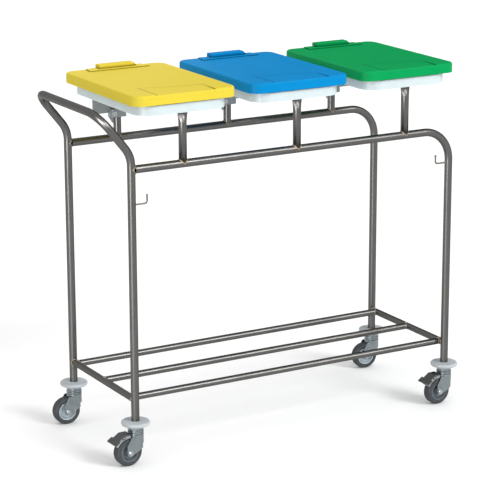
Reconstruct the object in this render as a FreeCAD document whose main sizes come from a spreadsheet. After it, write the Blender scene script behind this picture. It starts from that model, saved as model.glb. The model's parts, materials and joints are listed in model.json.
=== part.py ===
import FreeCAD, Part
import math
import os
import Sketcher
from FreeCAD import Placement, Rotation, Vector

# Laundry sorter on wheels: a welded steel tube frame on four swivel casters, with a push handle at one
# end, a low shelf of three tubes, and three bag rings on posts, each closed by a hinged plastic lid.
#
# The origin is on the floor, midway between the four legs. +Z is up, +X runs from the handle end to the
# far end, and +Y runs from the side of the finger grips to the side of the lid hinges. Millimetres.

doc = FreeCAD.newDocument("laundry_sorter")
sheet = doc.addObject("Spreadsheet::Sheet", "Sizes")


# ---- a number that remembers the spreadsheet formula it comes from ------------------------------------

class Size:
    def __init__(self, number, formula):
        self.number = float(number)
        self.formula = formula

    def __float__(self):
        return self.number

    def __add__(self, other):
        return combine(self, "+", other, self.number + float(other))

    def __radd__(self, other):
        return combine(other, "+", self, float(other) + self.number)

    def __sub__(self, other):
        return combine(self, "-", other, self.number - float(other))

    def __rsub__(self, other):
        return combine(other, "-", self, float(other) - self.number)

    def __mul__(self, other):
        return combine(self, "*", other, self.number * float(other))

    def __rmul__(self, other):
        return combine(other, "*", self, float(other) * self.number)

    def __truediv__(self, other):
        return combine(self, "/", other, self.number / float(other))


def formula_of(value):
    return value.formula if isinstance(value, Size) else repr(float(value))


def combine(left, sign, right, number):
    return Size(number, f"({formula_of(left)} {sign} {formula_of(right)})")


def cosine(angle):
    return Size(math.cos(math.radians(float(angle))), f"cos({formula_of(angle)})")


def sine(angle):
    return Size(math.sin(math.radians(float(angle))), f"sin({formula_of(angle)})")


def driving(name, number):
    """Write one driving dimension into the next row of the sheet and return it."""
    cell = "A" + str(len(driving.names) + 1)
    sheet.set(cell, str(number))
    sheet.setAlias(cell, name)
    driving.names.append(name)
    return Size(number, "Sizes." + name)


driving.names = []


# ---- driving dimensions -------------------------------------------------------------------------------

# Frame tubes.
tube_od = driving("tube_od", 25.0)
tube_wall = driving("tube_wall", 1.5)
rung_od = driving("rung_od", 21.3)
rung_wall = driving("rung_wall", 1.5)
weld_gap = driving("weld_gap", 0.1)
leg_span_x = driving("leg_span_x", 1142.0)
leg_span_y = driving("leg_span_y", 436.0)
leg_seat = driving("leg_seat", 2.4)
rail_height = driving("rail_height", 920.0)
rail_bend = driving("rail_bend", 97.0)
shelf_lift = driving("shelf_lift", 76.0)
shelf_inset = driving("shelf_inset", 26.5)

# Push handle: the left legs lean outwards above the knee and join in a crossbar.
knee_rise = driving("knee_rise", 42.0)
knee_bend = driving("knee_bend", 90.0)
handle_reach = driving("handle_reach", 105.0)
handle_rise = driving("handle_rise", 131.0)
handle_corner = driving("handle_corner", 65.0)

# Hooks on the front legs.
hook_wire = driving("hook_wire", 5.0)
hook_drop = driving("hook_drop", 107.0)
hook_reach = driving("hook_reach", 51.0)
hook_rise = driving("hook_rise", 25.0)
hook_bend = driving("hook_bend", 8.0)
hook_tip = driving("hook_tip", 7.0)

# The three bag units: the gap between their lids, and the bag ring.
unit_gap = driving("unit_gap", 50.0)
ring_width = driving("ring_width", 308.0)
ring_front_reach = driving("ring_front_reach", 22.0)
ring_back_reach = driving("ring_back_reach", 7.0)
ring_lift = driving("ring_lift", 159.0)
ring_height = driving("ring_height", 29.0)
ring_channel = driving("ring_channel", 34.0)
ring_wall = driving("ring_wall", 3.0)
ring_corner = driving("ring_corner", 55.0)

# Lid.
lid_side_reach = driving("lid_side_reach", 20.0)
lid_front_reach = driving("lid_front_reach", 9.0)
lid_back_reach = driving("lid_back_reach", 18.0)
lid_height = driving("lid_height", 31.0)
lid_corner = driving("lid_corner", 34.0)
lid_edge = driving("lid_edge", 7.0)
lid_wall = driving("lid_wall", 3.0)
lid_skin = driving("lid_skin", 4.0)
lid_gap = driving("lid_gap", 3.0)
lid_rest_gap = driving("lid_rest_gap", 0.5)
step_width = driving("step_width", 206.0)
step_depth = driving("step_depth", 52.0)
step_rise = driving("step_rise", 2.5)
grip_width = driving("grip_width", 196.0)
grip_length = driving("grip_length", 96.0)
grip_depth = driving("grip_depth", 2.4)

# Lid hinge.
pin_od = driving("pin_od", 6.0)
pin_clearance = driving("pin_clearance", 0.08)
lug_clearance = driving("lug_clearance", 0.5)
hinge_rise = driving("hinge_rise", 1.0)
hinge_block_width = driving("hinge_block_width", 120.0)
hinge_block_depth = driving("hinge_block_depth", 30.0)
hinge_block_rise = driving("hinge_block_rise", 14.0)
hinge_block_wall = driving("hinge_block_wall", 3.0)
hinge_block_slope = driving("hinge_block_slope", 12.0)
lug_pitch = driving("lug_pitch", 80.0)
lug_width = driving("lug_width", 14.0)
lug_radius = driving("lug_radius", 5.5)
lug_column = driving("lug_column", 6.0)

# Posts and the brackets on the rear posts.
flat_taper = driving("flat_taper", 36.0)
flat_width = driving("flat_width", 35.0)
flat_thickness = driving("flat_thickness", 6.4)
tab_length = driving("tab_length", 21.0)
bracket_width = driving("bracket_width", 54.0)
bracket_depth = driving("bracket_depth", 37.0)
bracket_height = driving("bracket_height", 25.0)
bracket_drop = driving("bracket_drop", 91.0)
bracket_corner = driving("bracket_corner", 10.0)
bracket_roof = driving("bracket_roof", 5.0)
bracket_fit = driving("bracket_fit", 0.1)
plate_inset = driving("plate_inset", 15.0)
plate_thickness = driving("plate_thickness", 4.0)
plate_drop = driving("plate_drop", 78.0)
plate_rise = driving("plate_rise", 19.0)
plate_chamfer = driving("plate_chamfer", 17.0)
gusset_drop = driving("gusset_drop", 20.0)
gusset_width = driving("gusset_width", 18.0)
gusset_thickness = driving("gusset_thickness", 5.0)

# Screws.
screw_od = driving("screw_od", 5.0)
screw_head_od = driving("screw_head_od", 10.0)
screw_head_height = driving("screw_head_height", 3.5)
screw_socket = driving("screw_socket", 3.0)
clamp_screw_gap = driving("clamp_screw_gap", 2.4)
clamp_head_od = driving("clamp_head_od", 15.0)
plate_screw_inset = driving("plate_screw_inset", 24.0)
nut_od = driving("nut_od", 9.0)
nut_height = driving("nut_height", 4.0)

# Casters.
wheel_od = driving("wheel_od", 87.4)
tyre_width = driving("tyre_width", 32.0)
tyre_edge = driving("tyre_edge", 8.0)
hub_od = driving("hub_od", 58.0)
hub_recess = driving("hub_recess", 2.0)
hub_boss_od = driving("hub_boss_od", 22.0)
hub_boss_gap = driving("hub_boss_gap", 1.7)
hub_web = driving("hub_web", 8.0)
hub_rim = driving("hub_rim", 4.0)
trail = driving("trail", 28.7)
axle_od = driving("axle_od", 8.0)
axle_clearance = driving("axle_clearance", 0.08)
axle_head_od = driving("axle_head_od", 14.0)
axle_head_height = driving("axle_head_height", 4.0)
fork_clearance = driving("fork_clearance", 2.7)
fork_plate = driving("fork_plate", 3.0)
fork_toe = driving("fork_toe", 12.0)
fork_shoulder = driving("fork_shoulder", 21.0)
fork_crown = driving("fork_crown", 3.5)
fork_front = driving("fork_front", 13.0)
skirt_depth = driving("skirt_depth", 24.0)
crown_clearance = driving("crown_clearance", 5.6)
head_od = driving("head_od", 49.0)
head_height = driving("head_height", 18.6)
head_groove = driving("head_groove", 1.2)
race_gap = driving("race_gap", 0.4)
race_od = driving("race_od", 46.0)
race_edge = driving("race_edge", 4.0)
king_pin_od = driving("king_pin_od", 12.0)
king_pin_clearance = driving("king_pin_clearance", 0.08)
rivet_od = driving("rivet_od", 17.0)
rivet_height = driving("rivet_height", 2.0)
stem_length = driving("stem_length", 70.0)
stem_fit = driving("stem_fit", 0.1)
buffer_od = driving("buffer_od", 88.5)
race_height = driving("race_height", 13.6)
buffer_height = driving("buffer_height", 12.6)
buffer_edge = driving("buffer_edge", 5.6)
buffer_fit = driving("buffer_fit", 0.2)

# Wheel brakes on the front casters.
cover_gap = driving("cover_gap", 3.0)
cover_inset = driving("cover_inset", 1.0)
cover_clearance = driving("cover_clearance", 0.4)
cover_top = driving("cover_top", 4.0)
cover_reach = driving("cover_reach", 24.0)
cover_drop = driving("cover_drop", 18.0)
ear_od = driving("ear_od", 11.0)
ear_width = driving("ear_width", 2.8)
brake_pin_od = driving("brake_pin_od", 5.0)
brake_pin_back = driving("brake_pin_back", 21.3)
brake_pin_lift = driving("brake_pin_lift", 7.6)
pedal_length = driving("pedal_length", 34.0)
pedal_toe = driving("pedal_toe", 15.0)
pedal_drop = driving("pedal_drop", 23.0)
pedal_rise = driving("pedal_rise", 8.5)
pedal_width = driving("pedal_width", 56.0)
pedal_thickness = driving("pedal_thickness", 3.2)

# How each caster is turned about its leg, in degrees.
turn_front_left = driving("turn_front_left", 2.0)
turn_front_right = driving("turn_front_right", 3.0)
turn_rear_left = driving("turn_rear_left", -4.0)
turn_rear_right = driving("turn_rear_right", -5.0)


# ---- sizes that follow from the driving ones ----------------------------------------------------------

OVERLAP = 1.0
leg_x = leg_span_x / 2
leg_y = leg_span_y / 2
shelf_pitch = leg_y - shelf_inset
knee_height = rail_height + knee_rise
handle_height = knee_height + handle_rise
hook_height = rail_height - hook_drop
ring_bottom = rail_height + ring_lift
ring_front = leg_y + ring_front_reach
ring_back = leg_y + ring_back_reach
lid_width = ring_width + 2 * lid_side_reach
unit_pitch = lid_width + unit_gap
lid_front = ring_front + lid_front_reach
lid_back = ring_back + lid_back_reach
flat_start = ring_bottom - flat_taper
bracket_bottom = ring_bottom - bracket_drop
plate_bottom = ring_bottom - plate_drop
plate_top = ring_bottom + plate_rise
plate_width = ring_width - 2 * (ring_corner + plate_inset)
plate_screw_pitch = plate_width - 2 * plate_screw_inset
fork_gap = tyre_width + 2 * fork_clearance
hub_width = tyre_width - 2 * hub_recess
hub_boss_width = fork_gap - 2 * hub_boss_gap
crown_height = wheel_od + crown_clearance
skirt_bottom = crown_height - skirt_depth
cover_width = tyre_width - 2 * cover_inset
tube_r = tube_od / 2
tube_bore = tube_r - tube_wall
rung_r = rung_od / 2
rung_bore = rung_r - rung_wall
leg_cope = tube_r + weld_gap
rung_cope = rung_r + weld_gap
ring_rim = ring_bottom + ring_height
lid_bottom = ring_rim + lid_gap
lid_top = lid_bottom + lid_height
collar_top = lid_top - lid_skin - lid_rest_gap
hinge_y = lid_back - hinge_block_wall - lug_clearance - lug_radius
hinge_z = lid_top + hinge_rise
pin_r = pin_od / 2
screw_r = screw_od / 2
tab_top = ring_bottom + tab_length
tab_screw_z = ring_bottom + tab_length / 2
plate_back = ring_back - ring_wall
plate_screw_z = plate_top - screw_head_od
bracket_top = bracket_bottom + bracket_height
post_seat = bracket_top - bracket_roof
wheel_r = wheel_od / 2
fork_outer = fork_gap / 2 + fork_plate
race_bottom = crown_height + head_height + race_gap
buffer_bottom = race_bottom + race_height
leg_bottom = buffer_bottom + leg_seat
shelf_height = leg_bottom + shelf_lift
clamp_screw_offset = tube_r + bracket_fit + screw_r + clamp_screw_gap
cover_front = -1 * head_od / 2 - OVERLAP
brake_pin_x = -1 * trail - brake_pin_back
brake_pin_z = wheel_od + brake_pin_lift
cover_back = brake_pin_x - cover_reach

SIDES = {"front": -1, "rear": 1}
UNITS = {"left": -1, "middle": 0, "right": 1}
CASTERS = {
    "front_left": (-1, -1, turn_front_left),
    "front_right": (1, -1, turn_front_right),
    "rear_left": (-1, 1, turn_rear_left),
    "rear_right": (1, 1, turn_rear_right),
}

TO_X = Rotation(Vector(0, 1, 0), 90)
TO_Y = Rotation(Vector(1, 0, 0), -90)
UPRIGHT = Rotation()
PARTS = []


# ---- helpers: document objects, sketches and features -------------------------------------------------

def bind(target, name, value):
    """Tie a property to its formula, or set a plain number."""
    if isinstance(value, Size):
        target.setExpression(name, value.formula)
    else:
        setattr(target, name, value)


def place(target, x=0.0, y=0.0, z=0.0, rotation=UPRIGHT):
    """Put an object at x, y, z, tied to the sheet."""
    target.Placement = Placement(Vector(float(x), float(y), float(z)), rotation)
    for axis, value in (("x", x), ("y", y), ("z", z)):
        if isinstance(value, Size):
            target.setExpression(".Placement.Base." + axis, value.formula)


def finished(target, label):
    """Name a finished sub-part and list it for export."""
    target.Label = label
    PARTS.append(target)
    return target


def cylinder(name, radius, height, x=0.0, y=0.0, z=0.0, rotation=UPRIGHT):
    item = doc.addObject("Part::Cylinder", name)
    bind(item, "Radius", radius)
    bind(item, "Height", height)
    place(item, x, y, z, rotation)
    return item


def box(name, x_size, y_size, z_size, x, y, z):
    item = doc.addObject("Part::Box", name)
    bind(item, "Length", x_size)
    bind(item, "Width", y_size)
    bind(item, "Height", z_size)
    place(item, x, y, z)
    return item


def fuse(name, items):
    item = doc.addObject("Part::MultiFuse", name)
    item.Shapes = items
    item.Refine = True
    return item


def cut(name, base, tools):
    """Take each tool out of the base, one after the other."""
    for number, tool in enumerate(tools):
        step = doc.addObject("Part::Cut", f"{name}_cut{number}")
        step.Base = base
        step.Tool = tool
        base = step
    return base


def group(label, items):
    """Like pieces that share one sub-part."""
    item = doc.addObject("Part::Compound", label)
    item.Links = items
    finished(item, label)


def plain_body(label):
    """A body that is only a step towards a sub-part."""
    return doc.addObject("PartDesign::Body", label)


def new_body(label):
    """A body that is a sub-part itself."""
    return finished(plain_body(label), label)


def new_sketch(body, plane, height=None):
    """A sketch on one of the body's own origin planes, or at a height above it."""
    sketch = body.newObject("Sketcher::SketchObject", body.Name + "_sketch")
    support = [item for item in body.Origin.OriginFeatures if item.Role == plane][0]
    sketch.AttachmentSupport = [(support, "")]
    sketch.MapMode = "FlatFace"
    if height is not None:
        sketch.AttachmentOffset = Placement(Vector(0, 0, float(height)), Rotation())
        sketch.setExpression(".AttachmentOffset.Base.z", formula_of(height))
    return sketch


def fix_point(sketch, geometry, point, x, y):
    """Hold one point of a sketch at x, y."""
    for kind, value, axis in (("DistanceX", x, -2), ("DistanceY", y, -1)):
        if abs(float(value)) < 1e-9:
            sketch.addConstraint(Sketcher.Constraint("PointOnObject", geometry, point, axis))
        else:
            rule = Sketcher.Constraint(kind, -1, 1, geometry, point, float(value))
            sketch.setExpression(f"Constraints[{sketch.addConstraint(rule)}]", formula_of(value))


def draw_circle(sketch, radius, x=0.0, y=0.0):
    circle = Part.Circle(Vector(float(x), float(y), 0), Vector(0, 0, 1), float(radius))
    index = sketch.addGeometry(circle, False)
    rule = sketch.addConstraint(Sketcher.Constraint("Radius", index, float(radius)))
    sketch.setExpression(f"Constraints[{rule}]", formula_of(radius))
    fix_point(sketch, index, 3, x, y)


def draw_polygon(sketch, corners):
    """A closed outline whose corners are tied to the sheet."""
    spots = [Vector(float(x), float(y), 0) for x, y in corners]
    indices = []
    for number, spot in enumerate(spots):
        following = spots[(number + 1) % len(spots)]
        indices.append(sketch.addGeometry(Part.LineSegment(spot, following), False))
    for number, index in enumerate(indices):
        following = indices[(number + 1) % len(indices)]
        sketch.addConstraint(Sketcher.Constraint("Coincident", index, 2, following, 1))
    for index, (x, y) in zip(indices, corners):
        fix_point(sketch, index, 1, x, y)


def draw_rounded(sketch, x_low, x_high, y_low, y_high, radius):
    """A rectangle with four equal tangent corner arcs."""
    x0, x1, y0, y1, r = (float(value) for value in (x_low, x_high, y_low, y_high, radius))
    quarter = math.pi / 2
    lines = [((x0 + r, y0), (x1 - r, y0)), ((x1, y0 + r), (x1, y1 - r)),
             ((x1 - r, y1), (x0 + r, y1)), ((x0, y1 - r), (x0, y0 + r))]
    centres = [(x1 - r, y0 + r), (x1 - r, y1 - r), (x0 + r, y1 - r), (x0 + r, y0 + r)]
    sides = []
    arcs = []
    for number, (start, end) in enumerate(lines):
        sides.append(sketch.addGeometry(Part.LineSegment(Vector(*start, 0), Vector(*end, 0)), False))
        circle = Part.Circle(Vector(*centres[number], 0), Vector(0, 0, 1), r)
        turn = (number - 1) * quarter
        arcs.append(sketch.addGeometry(Part.ArcOfCircle(circle, turn, turn + quarter), False))
    for number, side in enumerate(sides):
        following = sides[(number + 1) % len(sides)]
        sketch.addConstraint(Sketcher.Constraint("Tangent", side, 2, arcs[number], 1))
        sketch.addConstraint(Sketcher.Constraint("Tangent", arcs[number], 2, following, 1))
        way = "Horizontal" if number % 2 == 0 else "Vertical"
        sketch.addConstraint(Sketcher.Constraint(way, side))
    for arc in arcs[1:]:
        sketch.addConstraint(Sketcher.Constraint("Equal", arcs[0], arc))
    rule = sketch.addConstraint(Sketcher.Constraint("Radius", arcs[0], r))
    sketch.setExpression(f"Constraints[{rule}]", formula_of(radius))
    edges = (("DistanceY", sides[0], y_low), ("DistanceX", sides[1], x_high),
             ("DistanceY", sides[2], y_high), ("DistanceX", sides[3], x_low))
    for kind, side, value in edges:
        rule = sketch.addConstraint(Sketcher.Constraint(kind, -1, 1, side, 1, float(value)))
        sketch.setExpression(f"Constraints[{rule}]", formula_of(value))


def feature(body, kind, sketch, length, backwards=False, both_ways=False):
    """A Pad or Pocket of a sketch, which has to change the body's volume."""
    before = body.Shape.Volume if body.Tip else 0.0
    item = body.newObject("PartDesign::" + kind, f"{body.Name}_{kind.lower()}")
    item.Profile = sketch
    bind(item, "Length", length)
    item.Reversed = backwards
    if both_ways:
        item.SideType = "Symmetric"
    doc.recompute()
    if abs(body.Shape.Volume - before) < OVERLAP:
        raise ValueError(f"{item.Name} changes nothing")
    return item


def revolution(body, sketch):
    """Turn a sketch about its own upright axis."""
    item = body.newObject("PartDesign::Revolution", body.Name + "_revolution")
    item.Profile = sketch
    item.ReferenceAxis = (sketch, ["V_Axis"])
    item.Angle = 360.0
    doc.recompute()


def fillet(body, radius, chosen):
    """Round the edges of the body's last feature that the test picks."""
    base = body.Tip
    names = [f"Edge{number + 1}" for number, edge in enumerate(base.Shape.Edges) if chosen(edge)]
    item = body.newObject("PartDesign::Fillet", body.Name + "_fillet")
    item.Base = (base, names)
    bind(item, "Radius", radius)
    doc.recompute()
    return item


def circle_edge(radius, *heights):
    """A test for round edges of one radius at the given places along the axis."""
    def chosen(edge):
        curve = edge.Curve
        if not isinstance(curve, Part.Circle) or abs(curve.Radius - float(radius)) > 1e-4:
            return False
        along = abs(curve.Center * curve.Axis)
        return any(abs(along - abs(float(height))) < 1e-4 for height in heights)
    return chosen


def rounded_path(points, radii):
    """Straight runs joined by tangent arcs, as one wire."""
    edges = []
    start = points[0]
    for number, radius in enumerate(radii):
        corner = points[number + 1]
        back = (points[number] - corner).normalize()
        ahead = (points[number + 2] - corner).normalize()
        half = back.getAngle(ahead) / 2
        reach = float(radius) / math.tan(half)
        middle = corner + (back + ahead).normalize() * (float(radius) / math.sin(half) - float(radius))
        entry = corner + back * reach
        leave = corner + ahead * reach
        edges.append(Part.LineSegment(start, entry).toShape())
        edges.append(Part.Arc(entry, middle, leave).toShape())
        start = leave
    edges.append(Part.LineSegment(start, points[-1]).toShape())
    return Part.Wire(edges)


def swept(name, wire, radius, rotation):
    """A round bar of one radius along a wire that starts in the direction of the rotation's Z."""
    path = doc.addObject("Part::Feature", name + "_path")
    path.Shape = wire
    ring = doc.addObject("Part::Circle", name + "_section")
    bind(ring, "Radius", radius)
    ring.Placement = Placement(wire.Edges[0].Vertexes[0].Point, rotation)
    sweep = doc.addObject("Part::Sweep", name)
    sweep.Sections = [ring]
    sweep.Spine = (path, [f"Edge{number + 1}" for number in range(len(wire.Edges))])
    sweep.Solid = True
    sweep.Frenet = True
    return sweep


def point(x, y, z):
    return Vector(float(x), float(y), float(z))


# ---- the frame ----------------------------------------------------------------------------------------

def bent_tube(name, wire, rotation, extra_cuts):
    """A round tube bent along a wire: the outer bar less its bore and less what it is coped onto."""
    outer = swept(name + "_outer", wire, tube_r, rotation)
    bore = swept(name + "_bore", wire, tube_bore, rotation)
    return cut(name, outer, [bore] + extra_cuts)


def handle_tube():
    """The left legs, their knees and the push handle, bent from one tube."""
    out_x = -1 * leg_x - handle_reach
    points = []
    for side in (-1, 1):
        y = side * leg_y
        run = [point(-1 * leg_x, y, leg_bottom), point(-1 * leg_x, y, knee_height),
               point(out_x, y, handle_height)]
        points += run if side < 0 else run[::-1]
    wire = rounded_path(points, [knee_bend, handle_corner, handle_corner, knee_bend])
    finished(bent_tube("handle_leg_tube", wire, UPRIGHT, []), "handle_leg_tube")


def rail_tube(side_name, side):
    """A top rail that bends down into a right leg; its left end is coped onto the left leg."""
    name = side_name + "_rail_leg_tube"
    y = side * leg_y
    points = [point(-1 * leg_x, y, rail_height), point(leg_x, y, rail_height), point(leg_x, y, leg_bottom)]
    wire = rounded_path(points, [rail_bend])
    leg = cylinder(name + "_cope", leg_cope, rail_height + tube_od, -1 * leg_x, y, 0.0)
    finished(bent_tube(name, wire, TO_X, [leg]), name)


def straight_rung(name, length, x, y, rotation, copes):
    """A shelf-height tube between two others, coped onto both."""
    outer = cylinder(name + "_outer", rung_r, length, x, y, shelf_height, rotation)
    bore = cylinder(name + "_bore", rung_bore, length, x, y, shelf_height, rotation)
    finished(cut(name, outer, [bore] + copes), name)


def cross_tubes():
    """The two low cross tubes, each from a front leg to a rear leg."""
    for end_name, end in (("left", -1), ("right", 1)):
        name = end_name + "_cross_tube"
        copes = [cylinder(f"{name}_cope{side}", leg_cope, shelf_height * 2, end * leg_x, side * leg_y, 0.0)
                 for side in (-1, 1)]
        straight_rung(name, leg_span_y, end * leg_x, -1 * leg_y, TO_Y, copes)


def shelf_tubes():
    """Three tubes between the cross tubes: the shelf that full bags stand on."""
    for row_name, row in (("front", -1), ("middle", 0), ("rear", 1)):
        name = row_name + "_shelf_tube"
        y = row * shelf_pitch
        copes = [cylinder(f"{name}_cope{end}", rung_cope, leg_span_y, end * leg_x, -1 * leg_y,
                          shelf_height, TO_Y) for end in (-1, 1)]
        straight_rung(name, leg_span_x, -1 * leg_x, y, TO_X, copes)


def rail_cope(name, side):
    """The rail as a cutting tool, for a post that stands on it."""
    return cylinder(name + "_cope", leg_cope, leg_span_x, -1 * leg_x, side * leg_y, rail_height, TO_X)


def flattened_top(name, x, y):
    """The squashed upper end of a front post: round below, a flat tab above."""
    sections = []
    for number, (height, wide, thin) in enumerate(((flat_start, tube_r, tube_r),
                                                   (ring_bottom, flat_width / 2, flat_thickness / 2),
                                                   (tab_top, flat_width / 2, flat_thickness / 2))):
        ring = doc.addObject("Part::Ellipse", f"{name}_section{number}")
        bind(ring, "MajorRadius", wide)
        bind(ring, "MinorRadius", thin)
        place(ring, x, y, height)
        sections.append(ring)
    loft = doc.addObject("Part::Loft", name + "_flat")
    loft.Sections = sections
    loft.Solid = True
    loft.Ruled = True
    return loft


def front_post(unit_name, unit):
    """A post on the front rail whose flattened top is screwed inside the ring's channel."""
    name = "front_post_" + unit_name
    x = unit * unit_pitch
    y = -1 * leg_y
    shaft = cylinder(name + "_shaft", tube_r, flat_start - rail_height, x, y, rail_height)
    solid = fuse(name + "_solid", [shaft, flattened_top(name, x, y)])
    bore = cylinder(name + "_bore", tube_bore, flat_start - rail_height - tube_wall, x, y, rail_height)
    hole = cylinder(name + "_hole", screw_r + pin_clearance, tube_od, x, y - tube_r, tab_screw_z, TO_Y)
    finished(cut(name, solid, [rail_cope(name, -1), bore, hole]), name)


def rear_post(unit_name, unit):
    """A post on the rear rail that ends inside the ring bracket."""
    name = "rear_post_" + unit_name
    x = unit * unit_pitch
    shaft = cylinder(name + "_shaft", tube_r, post_seat - rail_height, x, leg_y, rail_height)
    bore = cylinder(name + "_bore", tube_bore, post_seat - rail_height, x, leg_y, rail_height)
    finished(cut(name, shaft, [rail_cope(name, 1), bore]), name)


def hook(end_name, end):
    """A bent wire hook with a ball tip, welded to the inner side of a front leg."""
    name = "hook_" + end_name
    y = -1 * leg_y
    root = end * leg_x
    tip_x = end * (leg_x - hook_reach)
    points = [point(root, y, hook_height), point(tip_x, y, hook_height),
              point(tip_x, y, hook_height + hook_rise)]
    wire = rounded_path(points, [hook_bend])
    bar = swept(name + "_bar", wire, hook_wire / 2, TO_X)
    tip = doc.addObject("Part::Sphere", name + "_tip")
    bind(tip, "Radius", hook_tip / 2)
    place(tip, tip_x, y, hook_height + hook_rise)
    leg = cylinder(name + "_cope", leg_cope, tube_od * 2, root, y, hook_height - tube_od)
    finished(cut(name, fuse(name + "_solid", [bar, tip]), [leg]), name)


# ---- bag rings, brackets and lids ---------------------------------------------------------------------

def hinge_lugs(body):
    """Two lugs behind the rim that hold the hinge pin."""
    for side in (-1, 1):
        middle = side * lug_pitch / 2
        sketch = new_sketch(body, "YZ_Plane", middle)
        column_back = plate_back + lug_column
        foot = ring_height / 2
        draw_polygon(sketch, [(plate_back, foot), (column_back, foot),
                              (column_back, hinge_z - ring_bottom - lug_radius),
                              (hinge_y, hinge_z - ring_bottom - lug_radius),
                              (hinge_y, hinge_z - ring_bottom),
                              (plate_back, hinge_z - ring_bottom)])
        feature(body, "Pad", sketch, lug_width, both_ways=True)
        boss = new_sketch(body, "YZ_Plane", middle)
        draw_circle(boss, lug_radius, hinge_y, hinge_z - ring_bottom)
        feature(body, "Pad", boss, lug_width, both_ways=True)


def bag_ring(unit_name, unit):
    """The plastic ring that a bag's hem is folded over: a channel rim round an upstanding collar."""
    body = new_body("bag_ring_" + unit_name)
    half = ring_width / 2
    rim = new_sketch(body, "XY_Plane")
    draw_rounded(rim, -1 * half, half, -1 * ring_front, ring_back, ring_corner)
    feature(body, "Pad", rim, ring_height)
    channel = new_sketch(body, "XY_Plane")
    draw_rounded(channel, ring_wall - half, half - ring_wall, ring_wall - ring_front,
                 ring_back - ring_wall, ring_corner - ring_wall)
    feature(body, "Pocket", channel, ring_height - ring_wall, backwards=True)
    collar = new_sketch(body, "XY_Plane")
    inset = ring_channel
    draw_rounded(collar, inset - half, half - inset, inset - ring_front, ring_back - inset,
                 ring_corner - inset)
    feature(body, "Pad", collar, collar_top - ring_bottom)
    front_boss = new_sketch(body, "XY_Plane")
    boss_half = tube_r + ring_wall
    boss_front = -1 * leg_y + flat_thickness / 2
    draw_polygon(front_boss, [(-1 * boss_half, boss_front), (boss_half, boss_front),
                              (boss_half, inset - ring_front + OVERLAP),
                              (-1 * boss_half, inset - ring_front + OVERLAP)])
    feature(body, "Pad", front_boss, ring_height - ring_wall + OVERLAP)
    opening = new_sketch(body, "XY_Plane")
    bag = inset + ring_wall
    draw_rounded(opening, bag - half, half - bag, bag - ring_front, ring_back - bag, ring_corner - bag)
    feature(body, "Pocket", opening, collar_top - ring_bottom + OVERLAP, backwards=True)
    hinge_lugs(body)
    pin_hole = new_sketch(body, "YZ_Plane")
    draw_circle(pin_hole, pin_r, hinge_y, hinge_z - ring_bottom)
    feature(body, "Pocket", pin_hole, hinge_block_width, both_ways=True)
    tab_hole = new_sketch(body, "XZ_Plane")
    draw_circle(tab_hole, screw_r + pin_clearance, 0.0, tab_screw_z - ring_bottom)
    feature(body, "Pocket", tab_hole, ring_front - ring_wall - OVERLAP, backwards=True)
    plate_holes = new_sketch(body, "XZ_Plane")
    for side in (-1, 1):
        draw_circle(plate_holes, screw_r + pin_clearance, side * plate_screw_pitch / 2,
                    plate_screw_z - ring_bottom)
    feature(body, "Pocket", plate_holes, ring_back + OVERLAP)
    fillet(body, ring_wall / 3, rim_edges)
    place(body, unit * unit_pitch, 0.0, ring_bottom)


def rim_edges(edge):
    """The rim's upper outer edge."""
    bounds = edge.BoundBox
    flat = bounds.ZLength < 1e-6 and abs(bounds.ZMin - float(ring_height)) < 1e-6
    outer_x = abs(abs(bounds.Center.x) - float(ring_width) / 2) < float(ring_corner) / 2
    outer_y = bounds.YMin < -1 * float(ring_front) + 1e-6
    return flat and (outer_x or outer_y)


def ring_bracket(unit_name, unit):
    """A cast block clamped on the rear post, with a plate that holds the ring's back."""
    name = "ring_bracket_" + unit_name
    x = unit * unit_pitch
    block = plain_body(name + "_block")
    outline = new_sketch(block, "XY_Plane")
    draw_rounded(outline, bracket_width / -2, bracket_width / 2, bracket_depth / -2, bracket_depth / 2,
                 bracket_corner)
    feature(block, "Pad", outline, bracket_height)
    place(block, x, leg_y, bracket_bottom)
    plate = plain_body(name + "_plate")
    face = new_sketch(plate, "XZ_Plane")
    half = plate_width / 2
    draw_polygon(face, [(-1 * half, plate_chamfer), (plate_chamfer - half, 0.0),
                        (half - plate_chamfer, 0.0), (half, plate_chamfer),
                        (half, plate_top - plate_bottom), (-1 * half, plate_top - plate_bottom)])
    feature(plate, "Pad", face, plate_thickness)
    place(plate, x, plate_back, plate_bottom)
    gusset = plain_body(name + "_gusset")
    rib = new_sketch(gusset, "XZ_Plane")
    near = -1 * tube_r + OVERLAP
    draw_polygon(rib, [(near - gusset_width, 0.0), (near - gusset_width / 3, -1 * gusset_drop),
                       (near, -1 * gusset_drop), (near, OVERLAP), (near - gusset_width, OVERLAP)])
    feature(gusset, "Pad", rib, gusset_thickness, both_ways=True)
    place(gusset, x, leg_y, bracket_bottom)
    solid = fuse(name + "_solid", [block, plate, gusset])
    post = cylinder(name + "_post", tube_r + bracket_fit, post_seat - bracket_bottom + gusset_drop * 2,
                    x, leg_y, bracket_bottom - gusset_drop * 2)
    clamp = cylinder(name + "_clamp_hole", screw_r + pin_clearance, bracket_depth * 2,
                     x - clamp_screw_offset, leg_y - bracket_depth,
                     bracket_bottom + bracket_height / 2, TO_Y)
    holes = [cylinder(f"{name}_hole{side}", screw_r + pin_clearance, bracket_depth,
                      x + side * plate_screw_pitch / 2, leg_y, plate_screw_z, TO_Y)
             for side in (-1, 1)]
    finished(cut(name, solid, [post, clamp] + holes), name)


def hinge_pins():
    """The steel pins through each ring's lugs and the hinge block of its lid."""
    pins = [cylinder("hinge_pin_" + unit_name, pin_r, hinge_block_width,
                     unit * unit_pitch - hinge_block_width / 2, hinge_y, hinge_z, TO_X)
            for unit_name, unit in UNITS.items()]
    group("hinge_pins", pins)


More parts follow.
